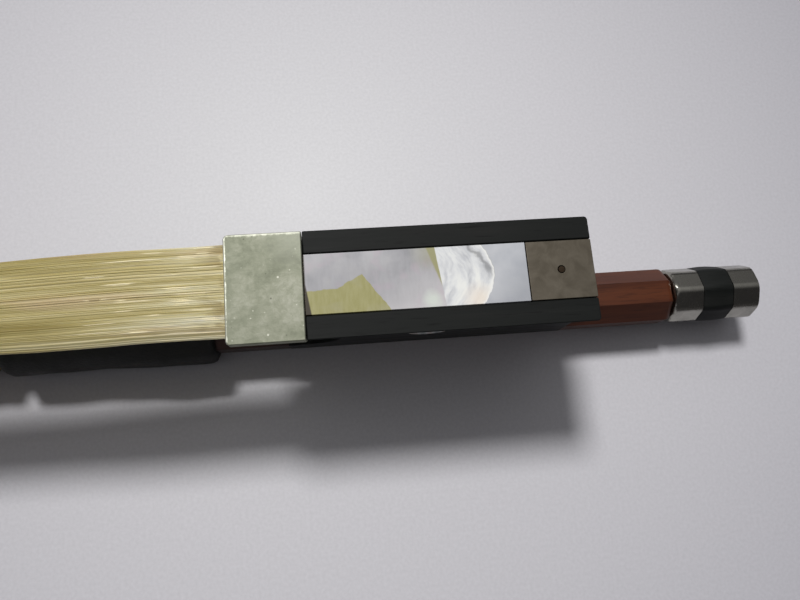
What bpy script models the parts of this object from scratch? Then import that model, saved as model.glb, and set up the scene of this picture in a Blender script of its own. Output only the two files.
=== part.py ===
# A full size violin bow, lying on its back with the hair side up.
# Metres. X runs along the stick toward the button, Z points out of the hair side, and the lowest point is at zero.

import math

import bmesh
import bpy
from mathutils import Vector

# Overall and shared sizes
overall_length = 0.745
gap = 0.0001  # between pieces that touch or run on each other, as the pieces are too fine for more
axis_to_flat = 0.022  # from the stick's axis up to the frog's flat face

# Button
button_flats = 0.0080
button_turn = math.radians(22.5)
ring_length = 0.0046
ring_rim = 0.0006
core_length = 0.0048
core_swell = 0.00015
cap_length = 0.0043
cap_chamfer = 0.0004
button_wall = 0.0008

# Screw, its bore and the eyelet that it runs in
screw_radius = 0.00145
screw_pitch = 0.0007
screw_reach = 0.0475
screw_in_button = 0.0105
screw_point = 0.0005
bore_past_screw = 0.0020
bore_play = 0.0002
eyelet_place = 0.0240  # behind the ferrule's front edge
eyelet_length = 0.0054
eyelet_width = 0.0046
eyelet_above = 0.0034
eyelet_below = 0.0025
stem_radius = 0.0015
stem_length = 0.0068
turns_forward = 2
turns_back = 8
slot_play = 0.0002

# Stick
stick_flats = 0.0081
butt_chamfer = 0.0010
nipple_radius = 0.0022
nipple_length = 0.0018
handle_length = 0.110
octagon_length = 0.076
octagon_fade = 0.012
head_radius = 0.00265
taper_growth = 3.37
camber = 0.013
camber_power = 1.5
stick_rings = 34

# Head, whose own axes run from its heel toward the tip and up from the back of the stick
beak_reach = 0.0245
face_height = 0.0228
beak_lift = 0.0016
beak_lift_start = 0.011
head_width = 0.0103
plate_thickness = 0.0012
liner_thickness = 0.0005
stick_to_heel = 0.0034
head_mortise_start = 0.0036
head_mortise_length = 0.0074
head_mortise_width = 0.0056
head_mortise_depth = 0.0080

# Thumb leather and winding
leather_to_ferrule = 0.0050
leather_length = 0.0300
leather_rear_wall = 0.0015
leather_front_wall = 0.0015
leather_round = 0.0011
winding_to_leather = 0.0006
winding_length = 0.072
winding_dark_wall = 0.0005
strip_loops = 24
strip_width = 0.0019
strip_wall = 0.0005
points_per_loop = 12

# Frog, measured back from the ferrule's front edge and down from the flat face
heel_to_butt = 0.0195
frog_length = 0.0450
frog_width = 0.0134
waist_width = 0.0097
throat_edge_width = 0.0026  # the frog's least width before its throat is cut
rail_width = 0.0095
waist_depth = 0.0120
rail_overlap = 0.0015
heel_lean = 0.0014
heel_round = 0.0004
throat_radius = 0.0038
nose_start = 0.0059
nose_drop = 0.0005

# Ferrule and what it holds
ferrule_length = 0.00934
ferrule_height = 0.0078
ferrule_wall = 0.0005
ferrule_roundness = 2.3
tongue_depth = 0.0027
tongue_setback = 0.0004
wedge_start = 0.0005
wedge_length = 0.0081

# Slide, plug and mortise under it
slide_width = 0.00737
dovetail_slope = 0.28
pearl_thickness = 0.0009
backing_thickness = 0.0012
backing_start = 0.0162
heel_plate_length = 0.0083
frog_mortise_start = 0.0141
frog_mortise_length = 0.0090
frog_mortise_width = 0.0068
frog_mortise_depth = 0.0080

# Heel plate, underslide, pearl eyes and small fixings
heel_plate_thickness = 0.0006
heel_plate_drop = 0.0115
pin_radius = 0.0004
pin_length = 0.0030
back_pin_depth = 0.0085
underslide_thickness = 0.00045
small_screw_radius = 0.0006
small_screw_head = 0.0010
small_screw_length = 0.0030
small_screw_inset = 0.0074
eye_radius = 0.0031
eye_thickness = 0.0009
eye_place = 0.0250
eye_depth = 0.0098

# Hair
hair_thickness = 0.0007
hair_width_ferrule = 0.0118
hair_width_fanned = 0.0102
hair_width_head = 0.0086
hair_fan_length = 0.030
hair_round = 0.0002
heel_overhang = 0.0006  # of the head plate, past the head's heel

# Places worked out from the sizes
button_length = ring_length + core_length + cap_length
button_corner = button_flats / 2 / math.cos(math.pi / 8)
axis_height = max(stick_flats / 2 + gap + leather_front_wall, button_corner)
butt_x = overall_length / 2 - button_length - gap
ferrule_x = butt_x - heel_to_butt - frog_length
flat_height = axis_height + axis_to_flat
head_x = -overall_length / 2 + beak_reach
stick_length = butt_x - head_x
rail_depth = axis_to_flat - stick_flats / 2 + rail_overlap
slide_end = frog_length - heel_plate_length
channel_depth = pearl_thickness + backing_thickness + 2 * gap
slot_center = butt_x - ferrule_x - eyelet_place
slot_length = eyelet_length + (turns_forward + turns_back) * screw_pitch + 2 * slot_play
leather_start = butt_x - ferrule_x + leather_to_ferrule
winding_start = leather_start + leather_length + winding_to_leather


def fresh_scene():
    for obj in list(bpy.data.objects):
        bpy.data.objects.remove(obj, do_unlink=True)
    made = {}
    for name in ("violin_bow", "cutters"):
        made[name] = bpy.data.collections.new(name)
        bpy.context.scene.collection.children.link(made[name])
    return made["violin_bow"], made["cutters"]


parts, cutters = fresh_scene()


def material(name, color, roughness, metallic=0.0):
    made = bpy.data.materials.new(name)
    made.use_nodes = True
    shader = made.node_tree.nodes["Principled BSDF"]
    shader.inputs["Base Color"].default_value = (*color, 1.0)
    shader.inputs["Roughness"].default_value = roughness
    shader.inputs["Metallic"].default_value = metallic
    made.diffuse_color = (*color, 1.0)
    return made


pernambuco = material("varnished pernambuco", (0.09, 0.028, 0.014), 0.30)
ebony = material("ebony", (0.018, 0.018, 0.019), 0.38)
pearl = material("mother of pearl", (0.62, 0.64, 0.60), 0.20)
nickel = material("tarnished nickel silver", (0.50, 0.49, 0.42), 0.32, 1.0)
steel = material("steel", (0.45, 0.45, 0.46), 0.30, 1.0)
brass = material("brass", (0.60, 0.44, 0.18), 0.35, 1.0)
leather = material("black leather", (0.012, 0.013, 0.010), 0.60)
tan_strip = material("tan strip", (0.38, 0.27, 0.13), 0.35)
dark_strip = material("dark strip", (0.035, 0.028, 0.022), 0.40)
horsehair = material("horsehair", (0.62, 0.54, 0.33), 0.45)
bone = material("bone", (0.80, 0.76, 0.64), 0.35)
plain_wood = material("plain wood", (0.50, 0.36, 0.20), 0.60)


def empty(name, place, turn=0.0):
    made = bpy.data.objects.new(name, None)
    made.empty_display_size = 0.01
    made.location = place
    made.rotation_euler = (0.0, 0.0, turn)
    parts.objects.link(made)
    return made


handle_frame = empty("stick_butt", (butt_x, 0.0, axis_height))
screw_axis = empty("screw_axis", (butt_x, 0.0, axis_height))
frog_frame = empty("frog_slide", (ferrule_x, 0.0, flat_height))
head_frame = empty("head_heel", (head_x, 0.0, 0.0), math.pi)


def place(name, mesh, parent, surface, cutter=False):
    obj = bpy.data.objects.new(name, mesh)
    obj.parent = parent
    if cutter:
        cutters.objects.link(obj)
        obj.hide_render = True
        obj.display_type = "WIRE"
        return obj
    mesh.materials.append(surface)
    parts.objects.link(obj)
    return obj


def mesh_of(name, shape):
    bmesh.ops.recalc_face_normals(shape, faces=shape.faces)
    if shape.calc_volume(signed=True) < 0:
        bmesh.ops.reverse_faces(shape, faces=shape.faces)
    mesh = bpy.data.meshes.new(name)
    shape.to_mesh(mesh)
    shape.free()
    return mesh


def smooth(obj, degrees=35):
    obj.data.shade_smooth()
    obj.data.set_sharp_from_angle(angle=math.radians(degrees))
    return obj


def box(name, low, high, parent, surface=None, cutter=False):
    shape = bmesh.new()
    bmesh.ops.create_cube(shape, size=1.0)
    size = Vector(high) - Vector(low)
    bmesh.ops.scale(shape, vec=size, verts=shape.verts)
    bmesh.ops.translate(shape, vec=(Vector(high) + Vector(low)) / 2, verts=shape.verts)
    return place(name, mesh_of(name, shape), parent, surface, cutter)


def rod(name, start, along, radius, length, parent, surface=None, cutter=False, sides=16, end_radius=None):
    """A round bar, or a cone, from its start along a direction."""
    shape = bmesh.new()
    bmesh.ops.create_cone(
        shape,
        cap_ends=True,
        segments=sides,
        radius1=radius,
        radius2=radius if end_radius is None else end_radius,
        depth=length,
    )
    bmesh.ops.translate(shape, vec=(0, 0, length / 2), verts=shape.verts)
    turn = Vector((0, 0, 1)).rotation_difference(Vector(along)).to_matrix()
    bmesh.ops.rotate(shape, cent=(0, 0, 0), matrix=turn, verts=shape.verts)
    bmesh.ops.translate(shape, vec=start, verts=shape.verts)
    obj = place(name, mesh_of(name, shape), parent, surface, cutter)
    return smooth(obj)


def loft(name, rings, parent, surface=None, cutter=False, closed=False):
    """Skins rings of equal count, closed into a loop or capped at both ends."""
    shape = bmesh.new()
    grid = [[shape.verts.new(point) for point in ring] for ring in rings]
    count = len(rings[0])
    spans = len(rings) if closed else len(rings) - 1
    for i in range(spans):
        here = grid[i]
        there = grid[(i + 1) % len(grid)]
        for j in range(count):
            k = (j + 1) % count
            shape.faces.new((here[j], here[k], there[k], there[j]))
    if not closed:
        shape.faces.new(grid[0][::-1])
        shape.faces.new(grid[-1])
    shape.normal_update()
    bmesh.ops.triangulate(shape, faces=shape.faces)
    return place(name, mesh_of(name, shape), parent, surface, cutter)


def slab(name, outline, low, high, plane, parent, surface=None, cutter=False):
    """A flat outline given thickness: plane xz runs it from low to high along Y, and plane yz along X."""
    curve = bpy.data.curves.new(name, "CURVE")
    curve.dimensions = "2D"
    curve.fill_mode = "BOTH"
    curve.extrude = (high - low) / 2
    spline = curve.splines.new("POLY")
    spline.points.add(len(outline) - 1)
    for point, (a, b) in zip(spline.points, outline):
        point.co = (a, b, 0.0, 1.0)
    spline.use_cyclic_u = True
    guide = bpy.data.objects.new(name + "_outline", curve)
    bpy.context.scene.collection.objects.link(guide)
    bpy.context.view_layer.update()
    mesh = bpy.data.meshes.new_from_object(guide.evaluated_get(bpy.context.evaluated_depsgraph_get()))
    bpy.data.objects.remove(guide, do_unlink=True)
    shape = bmesh.new()
    shape.from_mesh(mesh)
    bpy.data.meshes.remove(mesh)
    bmesh.ops.remove_doubles(shape, verts=shape.verts, dist=1e-5)
    middle = (low + high) / 2
    for vert in shape.verts:
        a, b, c = vert.co
        vert.co = (a, middle + c, b) if plane == "xz" else (middle + c, a, b)
    return place(name, mesh_of(name, shape), parent, surface, cutter)


def boolean(obj, other, operation):
    made = obj.modifiers.new(f"{operation.lower()} {other.name}", "BOOLEAN")
    made.operation = operation
    made.object = other


def cut(obj, *others):
    for other in others:
        boolean(obj, other, "DIFFERENCE")


def join(obj, *others):
    for other in others:
        boolean(obj, other, "UNION")


def through(points, value):
    """A smooth curve through (value, result) points, level at neither end."""
    if value <= points[0][0]:
        return points[0][1]
    if value >= points[-1][0]:
        return points[-1][1]
    last = len(points) - 1
    i = max(k for k in range(last) if points[k][0] <= value)
    slopes = []
    for k in (i, i + 1):
        before = points[max(k - 1, 0)]
        after = points[min(k + 1, last)]
        slopes.append((after[1] - before[1]) / (after[0] - before[0]))
    width = points[i + 1][0] - points[i][0]
    t = (value - points[i][0]) / width
    rise = (2 * t**3 - 3 * t**2 + 1) * points[i][1] + (3 * t**2 - 2 * t**3) * points[i + 1][1]
    return rise + width * ((t**3 - 2 * t**2 + t) * slopes[0] + (t**3 - t**2) * slopes[1])


def eased(t):
    t = min(max(t, 0.0), 1.0)
    return t * t * (3 - 2 * t)


# The stick, measured forward from its butt


def stick_share(s):
    return min(max((s - handle_length) / (stick_length - handle_length), 0.0), 1.0)


def axis_rise(s):
    """Height of the stick's axis over its height at the butt."""
    q = stick_share(s)
    return (head_radius - axis_height) * q + camber * math.sin(math.pi * q) ** camber_power


def stick_radius(s, angle):
    """Radius to the stick's surface: eight flats at the handle, fading to round under the leather."""
    flat = stick_flats / 2
    share = math.log10(1 + taper_growth * (1 - stick_share(s))) / math.log10(1 + taper_growth)
    round_radius = head_radius + (flat - head_radius) * share
    octagon = 1 - eased((s - octagon_length) / octagon_fade)
    off_normal = (angle + math.pi / 8) % (math.pi / 4) - math.pi / 8
    return round_radius * (1 + octagon * (1 / math.cos(off_normal) - 1))


def around(count):
    return [2 * math.pi * k / count for k in range(count)]


def ring_at(s, radius_of, count=16):
    """A ring round the stick's axis at one place along it."""
    rise = axis_rise(s)
    ring = []
    for angle in around(count):
        radius = radius_of(angle)
        ring.append((-s, radius * math.cos(angle), rise + radius * math.sin(angle)))
    return ring


def make_stick():
    rings = [
        ring_at(-nipple_length, lambda angle: nipple_radius),
        ring_at(0.0, lambda angle: nipple_radius),
        ring_at(0.0, lambda angle: stick_radius(0.0, angle) - butt_chamfer),
        ring_at(butt_chamfer, lambda angle: stick_radius(0.0, angle)),
    ]
    places = [octagon_length, octagon_length + octagon_fade / 2, octagon_length + octagon_fade]
    reach = stick_length - stick_to_heel - handle_length
    for k in range(stick_rings + 1):
        places.append(handle_length + reach * k / stick_rings)
    for s in sorted(places):
        rings.append(ring_at(s, lambda angle: stick_radius(s, angle)))
    stick = loft("stick", rings, handle_frame, pernambuco)
    smooth(stick, 30)
    join(stick, head_shape())
    bore = rod(
        "screw_bore_cutter",
        (nipple_length + gap, 0, 0),
        (-1, 0, 0),
        screw_radius + bore_play,
        nipple_length + gap + screw_reach + bore_past_screw,
        handle_frame,
        cutter=True,
    )
    slot_low = -slot_center - eyelet_length / 2 - turns_forward * screw_pitch - slot_play
    slot = box(
        "eyelet_slot_cutter",
        (slot_low, -eyelet_width / 2 - gap, -eyelet_below - gap),
        (slot_low + slot_length, eyelet_width / 2 + gap, stick_flats),
        handle_frame,
        cutter=True,
    )
    mortise = box(
        "head_mortise_cutter",
        (head_mortise_start, -head_mortise_width / 2, face_height - head_mortise_depth),
        (head_mortise_start + head_mortise_length, head_mortise_width / 2, face_height + beak_lift + gap),
        head_frame,
        cutter=True,
    )
    cut(stick, bore, slot, mortise)
    return mortise


# The head, in level slices that run from its heel to its ridge

heel_line = [
    (0.0, -3.0 * head_radius),
    (1.5 * head_radius, -2.95 * head_radius),
    (1.9 * head_radius, -2.35 * head_radius),
    (2.1 * head_radius, -1.3 * head_radius),
    (2.4 * head_radius, -0.55 * head_radius),
    (0.36 * face_height, 0.025 * beak_reach),
    (0.53 * face_height, 0.057 * beak_reach),
    (0.77 * face_height, 0.037 * beak_reach),
    (0.935 * face_height, 0.0),
    (face_height, -heel_overhang),
]
ridge_line = [
    (0.0, -1.35 * head_radius),
    (0.013 * face_height, -0.025 * beak_reach),
    (0.045 * face_height, 0.12 * beak_reach),
    (0.14 * face_height, 0.33 * beak_reach),
    (0.285 * face_height, 0.49 * beak_reach),
    (0.46 * face_height, 0.633 * beak_reach),
    (0.66 * face_height, 0.763 * beak_reach),
    (0.88 * face_height, 0.902 * beak_reach),
    (face_height, beak_reach),
]
cheek_line = [
    (2.0 * head_radius, 1.02 * head_radius),
    (0.35 * face_height, 0.31 * head_width),
    (0.61 * face_height, 0.408 * head_width),
    (0.92 * face_height, 0.485 * head_width),
    (face_height, head_width / 2),
]
heel_share_line = [
    (1.5 * head_radius, 0.95),
    (2.0 * head_radius, 0.30),
    (2.4 * head_radius, 0.55),
    (0.4 * face_height, 0.90),
    (0.61 * face_height, 1.00),
]
slice_shape = [
    (0.00, 0.90),
    (0.05, 0.97),
    (0.14, 1.00),
    (0.24, 1.00),
    (0.38, 0.95),
    (0.56, 0.78),
    (0.74, 0.51),
    (0.90, 0.22),
    (1.00, 0.03),
]


def cheek(height):
    """Half the head's width at a height: as round as the stick below, then wider up to the face."""
    widest = head_radius + gap / 2
    if height <= widest:
        return math.sqrt(max(widest**2 - (widest - height) ** 2, gap**2))
    return max(through(cheek_line, height), widest)


def head_slice(height):
    """One level slice of the head, lifted toward the beak in the upper half."""
    heel = through(heel_line, height)
    ridge = through(ridge_line, height)
    half = cheek(height)
    heel_share = through(heel_share_line, height)
    lift_share = eased((height - face_height / 2) / (face_height / 2 - plate_thickness - liner_thickness))
    side = []
    for along, wide in slice_shape:
        u = heel + along * (ridge - heel)
        lift = beak_lift * (max(u - beak_lift_start, 0.0) / (beak_reach - beak_lift_start)) ** 2
        narrow = 1 - (1 - heel_share) * max(1 - along / 0.4, 0.0)
        side.append((u, half * wide * narrow, height + lift_share * lift))
    return side + [(u, -y, z) for u, y, z in reversed(side)]


def head_shape():
    top = face_height - plate_thickness - liner_thickness - 2 * gap
    heights = [share * head_radius for share in (0.0, 0.08, 0.3, 0.6, 1.0, 1.5, 1.85, 2.1)]
    heights += [share * top for share in (0.306, 0.35, 0.407, 0.503, 0.67, 0.837, 1.0)]
    return loft("head_shape", [head_slice(height) for height in heights], head_frame, cutter=True)


def make_head_trim(mortise):
    plate_bottom = face_height - plate_thickness
    liner_top = plate_bottom - gap
    plate = loft("head_plate", [head_slice(plate_bottom), head_slice(face_height)], head_frame, bone)
    liner = loft("head_liner", [head_slice(liner_top - liner_thickness), head_slice(liner_top)], head_frame, ebony)
    cut(plate, mortise)
    cut(liner, mortise)
    wall = gap + hair_thickness + 2 * gap
    start = head_mortise_start + wall
    knot_top = face_height - head_mortise_depth + gap + 2.8 * hair_thickness
    box(
        "head_plug",
        (start, gap - head_mortise_width / 2, knot_top + gap),
        (head_mortise_start + head_mortise_length - gap, head_mortise_width / 2 - gap, face_height),
        head_frame,
        plain_wood,
    )


# Leather and winding, as sleeves on the stick


def sleeve(name, stations, surface, count=16):
    """A sleeve on the stick, from (place, wall) stations, with its bore a gap off the stick."""
    rings = []
    for angle in around(count):
        ring = []
        for s, wall in stations + [(s, 0.0) for s, wall in reversed(stations)]:
            radius = stick_radius(s, angle) + gap + wall
            ring.append((-s, radius * math.cos(angle), axis_rise(s) + radius * math.sin(angle)))
        rings.append(ring)
    return smooth(loft(name, rings, handle_frame, surface, closed=True), 50)


def make_leather():
    end = leather_start + leather_length
    stations = [
        (leather_start, leather_rear_wall - leather_round),
        (leather_start + 0.3 * leather_round, leather_rear_wall - 0.3 * leather_round),
        (leather_start + leather_round, leather_rear_wall),
        (octagon_length + octagon_fade / 2, leather_rear_wall),
        (octagon_length + octagon_fade, (leather_rear_wall + leather_front_wall) / 2),
        (end - leather_round, leather_front_wall),
        (end - 0.3 * leather_round, leather_front_wall - 0.3 * leather_round),
        (end, leather_front_wall - leather_round),
    ]
    sleeve("thumb_leather", stations, leather)


def winding_places(count):
    return [winding_start + winding_length * k / count for k in range(count + 1)]


def make_winding():
    sleeve("winding_dark_layer", [(s, winding_dark_wall) for s in winding_places(8)], dark_strip)
    pitch = (winding_length - strip_width) / strip_loops
    steps = strip_loops * points_per_loop
    lift = 1 / math.cos(math.pi / points_per_loop)
    rings = []
    for k in range(steps + 1):
        angle = 2 * math.pi * k / points_per_loop
        middle = winding_start + strip_width / 2 + pitch * k / points_per_loop
        ring = []
        for side, wall, share in ((-1, 0.0, 1.0), (-1, strip_wall, 0.7), (1, strip_wall, 0.7), (1, 0.0, 1.0)):
            s = middle + side * share * strip_width / 2
            seat = stick_radius(s, angle) + gap + winding_dark_wall
            radius = seat * lift + gap + wall
            ring.append((-s, radius * math.cos(angle), axis_rise(s) + radius * math.sin(angle)))
        rings.append(ring)
    smooth(loft("winding_light_strip", rings, handle_frame, tan_strip), 40)
    least = min(
        (Vector(p) - Vector(q)).length
        for k in range(steps + 1 - points_per_loop)
        for p in rings[k]
        for near in range(k + points_per_loop - 2, min(k + points_per_loop + 3, steps + 1))
        for q in rings[near]
    )
    print(f"winding strip: {strip_loops} loops, least gap to itself {least * 1000:.2f} mm")


# The frog, measured back from the ferrule's front edge and down from the flat face


def waist(depth):
    """Half the frog's width at a depth below its flat face, hollowed at the sides."""
    if depth < waist_depth:
        return waist_width / 2 + (frog_width - waist_width) / 2 * (1 - depth / waist_depth) ** 2
    below = (depth - waist_depth) / (rail_depth - waist_depth)
    return waist_width / 2 + (rail_width - waist_width) / 2 * below**2


def arch(depth, width, height):
    """Half the width of the ferrule's round side at a depth."""
    share = min(depth / height, 1.0)
    return width / 2 * (1 - share**ferrule_roundness) ** (1 / ferrule_roundness)


def throat_center():
    return (ferrule_length + gap, ferrule_height + throat_radius)


def frog_ring(x, inset=0.0):
    """A cross-section of the frog, arched at the ferrule and hollow-sided behind it."""
    throat_depth = throat_center()[1]
    blend = min(max((x - ferrule_length) / (0.5 * ferrule_length), 0.0), 0.97)
    rows = [0.0, 0.11, 0.22, 0.33, 0.44, 0.55, 0.66, 0.8]
    depths = [share * throat_depth for share in rows]
    depths += [throat_depth + share * (rail_depth - throat_depth) for share in (0.0, 0.35, 0.7, 1.0)]
    side = []
    for depth in depths:
        half = waist(depth)
        if depth < throat_depth:
            half = min(half, max(arch(depth, frog_width, ferrule_height / (1 - blend)), throat_edge_width / 2))
        lean = heel_lean * depth / rail_depth if x > slide_end else 0.0
        side.append((x + lean, half - inset, -depth))
    return side + [(u, -y, z) for u, y, z in reversed(side)]


def frog_rings():
    """The frog's outside before anything is cut from it."""
    stations = [
        (nose_start, 0.0),
        (ferrule_length, 0.0),
        (1.06 * ferrule_length, 0.0),
        (1.13 * ferrule_length, 0.0),
        (1.22 * ferrule_length, 0.0),
        (1.34 * ferrule_length, 0.0),
        (1.5 * ferrule_length, 0.0),
        (slide_end - gap, 0.0),
        (slide_end + 2 * heel_round, 0.0),
        (frog_length - heel_round, 0.0),
        (frog_length - 0.3 * heel_round, 0.3 * heel_round),
        (frog_length, heel_round),
    ]
    return [frog_ring(x, inset) for x, inset in stations]


def throat_cutter():
    """Clears the front of the frog: the ferrule's place and the round throat behind it."""
    center_x, center_depth = throat_center()
    far = frog_width
    outline = [(-far, far), (center_x, far)]
    for k in range(9):
        angle = math.pi / 2 - math.pi * k / 8
        outline.append((center_x + throat_radius * math.cos(angle), -center_depth + throat_radius * math.sin(angle)))
    nose_depth = center_depth + throat_radius + nose_drop
    outline.append((nose_start - gap, -nose_depth))
    outline.append((-far, -nose_depth))
    return slab("throat_cutter", outline, -far, far, "xz", frog_frame, cutter=True)


def arch_outline(width, height, top_depth):
    """The ferrule's section: flat on the hair side and arched on the stick side."""
    steps = 8
    side = []
    for k in range(steps):
        share = 1 - (1 - k / steps) ** 1.8
        depth = top_depth + share * (height - top_depth)
        side.append((arch(depth, width, height), -depth))
    return side + [(0.0, -height)] + [(-y, z) for y, z in reversed(side)]


def make_ferrule():
    ferrule = slab(
        "ferrule", arch_outline(frog_width, ferrule_height, 0.0), 0.0, ferrule_length, "yz", frog_frame, nickel
    )
    inner_width = frog_width - 2 * ferrule_wall
    inner_height = ferrule_height - ferrule_wall
    inner = slab(
        "ferrule_bore_cutter",
        arch_outline(inner_width, inner_height, ferrule_wall),
        -gap,
        ferrule_length + gap,
        "yz",
        frog_frame,
        cutter=True,
    )
    cut(ferrule, inner)
    smooth(ferrule)


def tongue_shape():
    return slab(
        "tongue_shape",
        arch_outline(
            frog_width - 2 * (ferrule_wall + gap), ferrule_height - ferrule_wall - gap, tongue_depth
        ),
        tongue_setback,
        ferrule_length + 0.3 * throat_radius,
        "yz",
        frog_frame,
        cutter=True,
    )


def facet_line(distance, foot_height):
    """Half of a line over the stick's three upper facets, a distance from its axis."""
    corner = distance * math.tan(math.pi / 8)
    foot = distance * math.sqrt(2) - foot_height
    return [(foot, foot_height - axis_to_flat), (corner, distance - axis_to_flat)]


def mirrored(side):
    return side + [(-y, z) for y, z in reversed(side)]


def slide_outline(top, bottom, margin=0.0):
    """The dovetail's section between two depths."""
    def half(depth):
        return slide_width / 2 + dovetail_slope * depth + margin

    return [(half(top), -top), (half(bottom), -bottom), (-half(bottom), -bottom), (-half(top), -top)]


def hair_in_frog_rings(margin=0.0):
    """The hair's way from the ferrule's mouth under the slide and down to its knot."""
    top = ferrule_wall + gap
    under_pearl = pearl_thickness + 2 * gap
    wall = frog_mortise_start + gap
    floor = frog_mortise_depth - gap
    neck = frog_mortise_width / 2 - 3 * gap
    thick = hair_thickness
    bend = wall - 2.3 * thick
    stations = [
        ((0.0, top), (0.0, top + thick), hair_width_ferrule / 2),
        ((0.5 * ferrule_length, top), (0.5 * ferrule_length, top + thick), 0.44 * hair_width_ferrule),
        ((ferrule_length, under_pearl), (ferrule_length - gap, under_pearl + thick), slide_width / 2),
        ((bend, under_pearl + 0.4 * thick), (bend - 0.6 * thick, under_pearl + 1.7 * thick), neck + 2 * gap),
        ((wall + 0.5 * thick, under_pearl + 1.5 * thick), (wall - 0.5 * thick, under_pearl + 2.3 * thick), neck),
        ((wall + thick, under_pearl + 3 * thick), (wall, under_pearl + 3.4 * thick), neck),
        ((wall + thick, floor - 2.8 * thick), (wall, floor - 1.6 * thick), neck),
        ((wall + 2.6 * thick, floor - 2.4 * thick), (wall + 2.2 * thick, floor), 0.9 * neck),
        ((wall + 8 * thick, floor - 2.4 * thick), (wall + 8 * thick, floor), 0.8 * neck),
    ]
    rings = []
    for (x1, d1), (x2, d2), half in stations:
        way = Vector((x2 - x1, 0, d1 - d2)).normalized() * margin
        upper = (x1 - way.x, d1 + way.z)
        lower = (x2 + way.x, d2 - way.z)
        wide = half + margin
        corners = [(*upper, wide), (*lower, wide), (*lower, -wide), (*upper, -wide)]
        rings.append([(x, y, -depth) for x, depth, y in corners])
    return rings


def knot_depth():
    return frog_mortise_depth - gap - 2.8 * hair_thickness


def heel_back(depth):
    return frog_length + heel_lean * depth / rail_depth


def heel_plate_shape(name, margin=0.0, surface=None, cutter=False):
    """The heel plate, as wide as the slide and run past the frog's outside, which then trims it."""
    inner = heel_plate_thickness + margin
    half = slide_width / 2 + margin
    drop = heel_plate_drop + margin
    far = frog_width
    outline = [
        (slide_end - margin, far),
        (frog_length + far, far),
        (frog_length + far, -drop),
        (heel_back(drop) - inner, -drop),
        (heel_back(inner) - inner, -inner),
        (slide_end - margin, -inner),
    ]
    return slab(name, outline, -half, half, "xz", frog_frame, surface, cutter)


def pin_places():
    """Start and direction of the two pins that hold the heel plate."""
    back = heel_back(back_pin_depth)
    return {
        "heel_pin_top": ((slide_end + heel_plate_length / 2, 0.0, 0.0), (0, 0, -1)),
        "heel_pin_back": ((back, 0.0, -back_pin_depth), (-1, 0, 0)),
    }


def small_screw_places():
    head = stick_flats / 2 + gap - axis_to_flat
    rear = frog_length - small_screw_inset
    return {
        "underslide_screw_front": (nose_start + small_screw_inset, 0.0, head),
        "underslide_screw_rear": (rear, 0.0, head),
    }


def make_frog():
    block = loft("frog_block", frog_rings(), frog_frame, ebony)
    envelope = loft("frog_outside", frog_rings(), frog_frame, cutter=True)
    run = stick_flats / 2 + gap
    lining = run + underslide_thickness
    foot = stick_flats / 2 - rail_overlap
    channel = slab(
        "slide_channel_cutter",
        slide_outline(-2 * gap, channel_depth, gap),
        ferrule_length - gap,
        slide_end - gap,
        "yz",
        frog_frame,
        cutter=True,
    )
    mortise = box(
        "frog_mortise_cutter",
        (frog_mortise_start, -frog_mortise_width / 2, -frog_mortise_depth),
        (frog_mortise_start + frog_mortise_length, frog_mortise_width / 2, -channel_depth + gap),
        frog_frame,
        cutter=True,
    )
    hair_way = loft("hair_way_cutter", hair_in_frog_rings(gap), frog_frame, cutter=True)
    stick_way = slab(
        "stick_way_cutter",
        mirrored(facet_line(lining + gap, -stick_flats)),
        -gap,
        2 * frog_length,
        "yz",
        frog_frame,
        cutter=True,
    )
    cut(block, throat_cutter())
    join(block, tongue_shape())
    cut(block, channel, mortise, hair_way, stick_way, heel_plate_shape("heel_plate_cutter", gap, cutter=True))

    plate = heel_plate_shape("heel_plate", surface=nickel)
    boolean(plate, envelope, "INTERSECT")
    for name, (start, along) in pin_places().items():
        rod(name, start, along, pin_radius, pin_length, frog_frame, nickel, sides=10)
        outside = Vector(start) - Vector(along) * gap
        length = pin_length + 2 * gap
        hole = rod(name + "_cutter", outside, along, pin_radius + gap, length, frog_frame, cutter=True, sides=10)
        cut(plate, hole)
        cut(block, hole)

    strip = slab(
        "underslide",
        lining_outline(lining, run, foot),
        nose_start,
        frog_length,
        "yz",
        frog_frame,
        nickel,
    )
    for name, start in small_screw_places().items():
        make_small_screw(name, start)
        below = (start[0], start[1], start[2] - gap)
        length = small_screw_length + 2 * gap
        hole = rod(name + "_cutter", below, (0, 0, 1), small_screw_radius + gap, length, frog_frame, cutter=True)
        sink = rod(
            name + "_sink_cutter",
            below,
            (0, 0, 1),
            small_screw_head + 2 * gap,
            underslide_thickness,
            frog_frame,
            cutter=True,
            end_radius=small_screw_radius + gap,
        )
        cut(strip, hole, sink)
        cut(block, hole)
    make_eyelet(block, strip)
    make_eyes(block)


def lining_outline(outer, inner, foot):
    """Section of a strip bent over the stick's three upper facets."""
    half = facet_line(outer, foot)
    back = facet_line(inner, foot)
    return half + [(-y, z) for y, z in reversed(half)] + [(-y, z) for y, z in back] + back[::-1]


def turned(name, profile, start, along, parent, surface, steps=16):
    """A turned piece from (radius, height) points that run down its outer side, on an axis from start."""
    mesh = bpy.data.meshes.new(name)
    points = [(radius, 0.0, height) for radius, height in profile]
    mesh.from_pydata(points, [(k, k + 1) for k in range(len(points) - 1)], [])
    obj = place(name, mesh, parent, surface)
    obj.location = start
    obj.rotation_mode = "QUATERNION"
    obj.rotation_quaternion = Vector((0, 0, 1)).rotation_difference(Vector(along))
    spin = obj.modifiers.new("turn", "SCREW")
    spin.axis = "Z"
    spin.steps = steps
    spin.render_steps = steps
    spin.use_merge_vertices = True
    spin.merge_threshold = 1e-6
    spin.use_smooth_shade = True
    return obj


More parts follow.
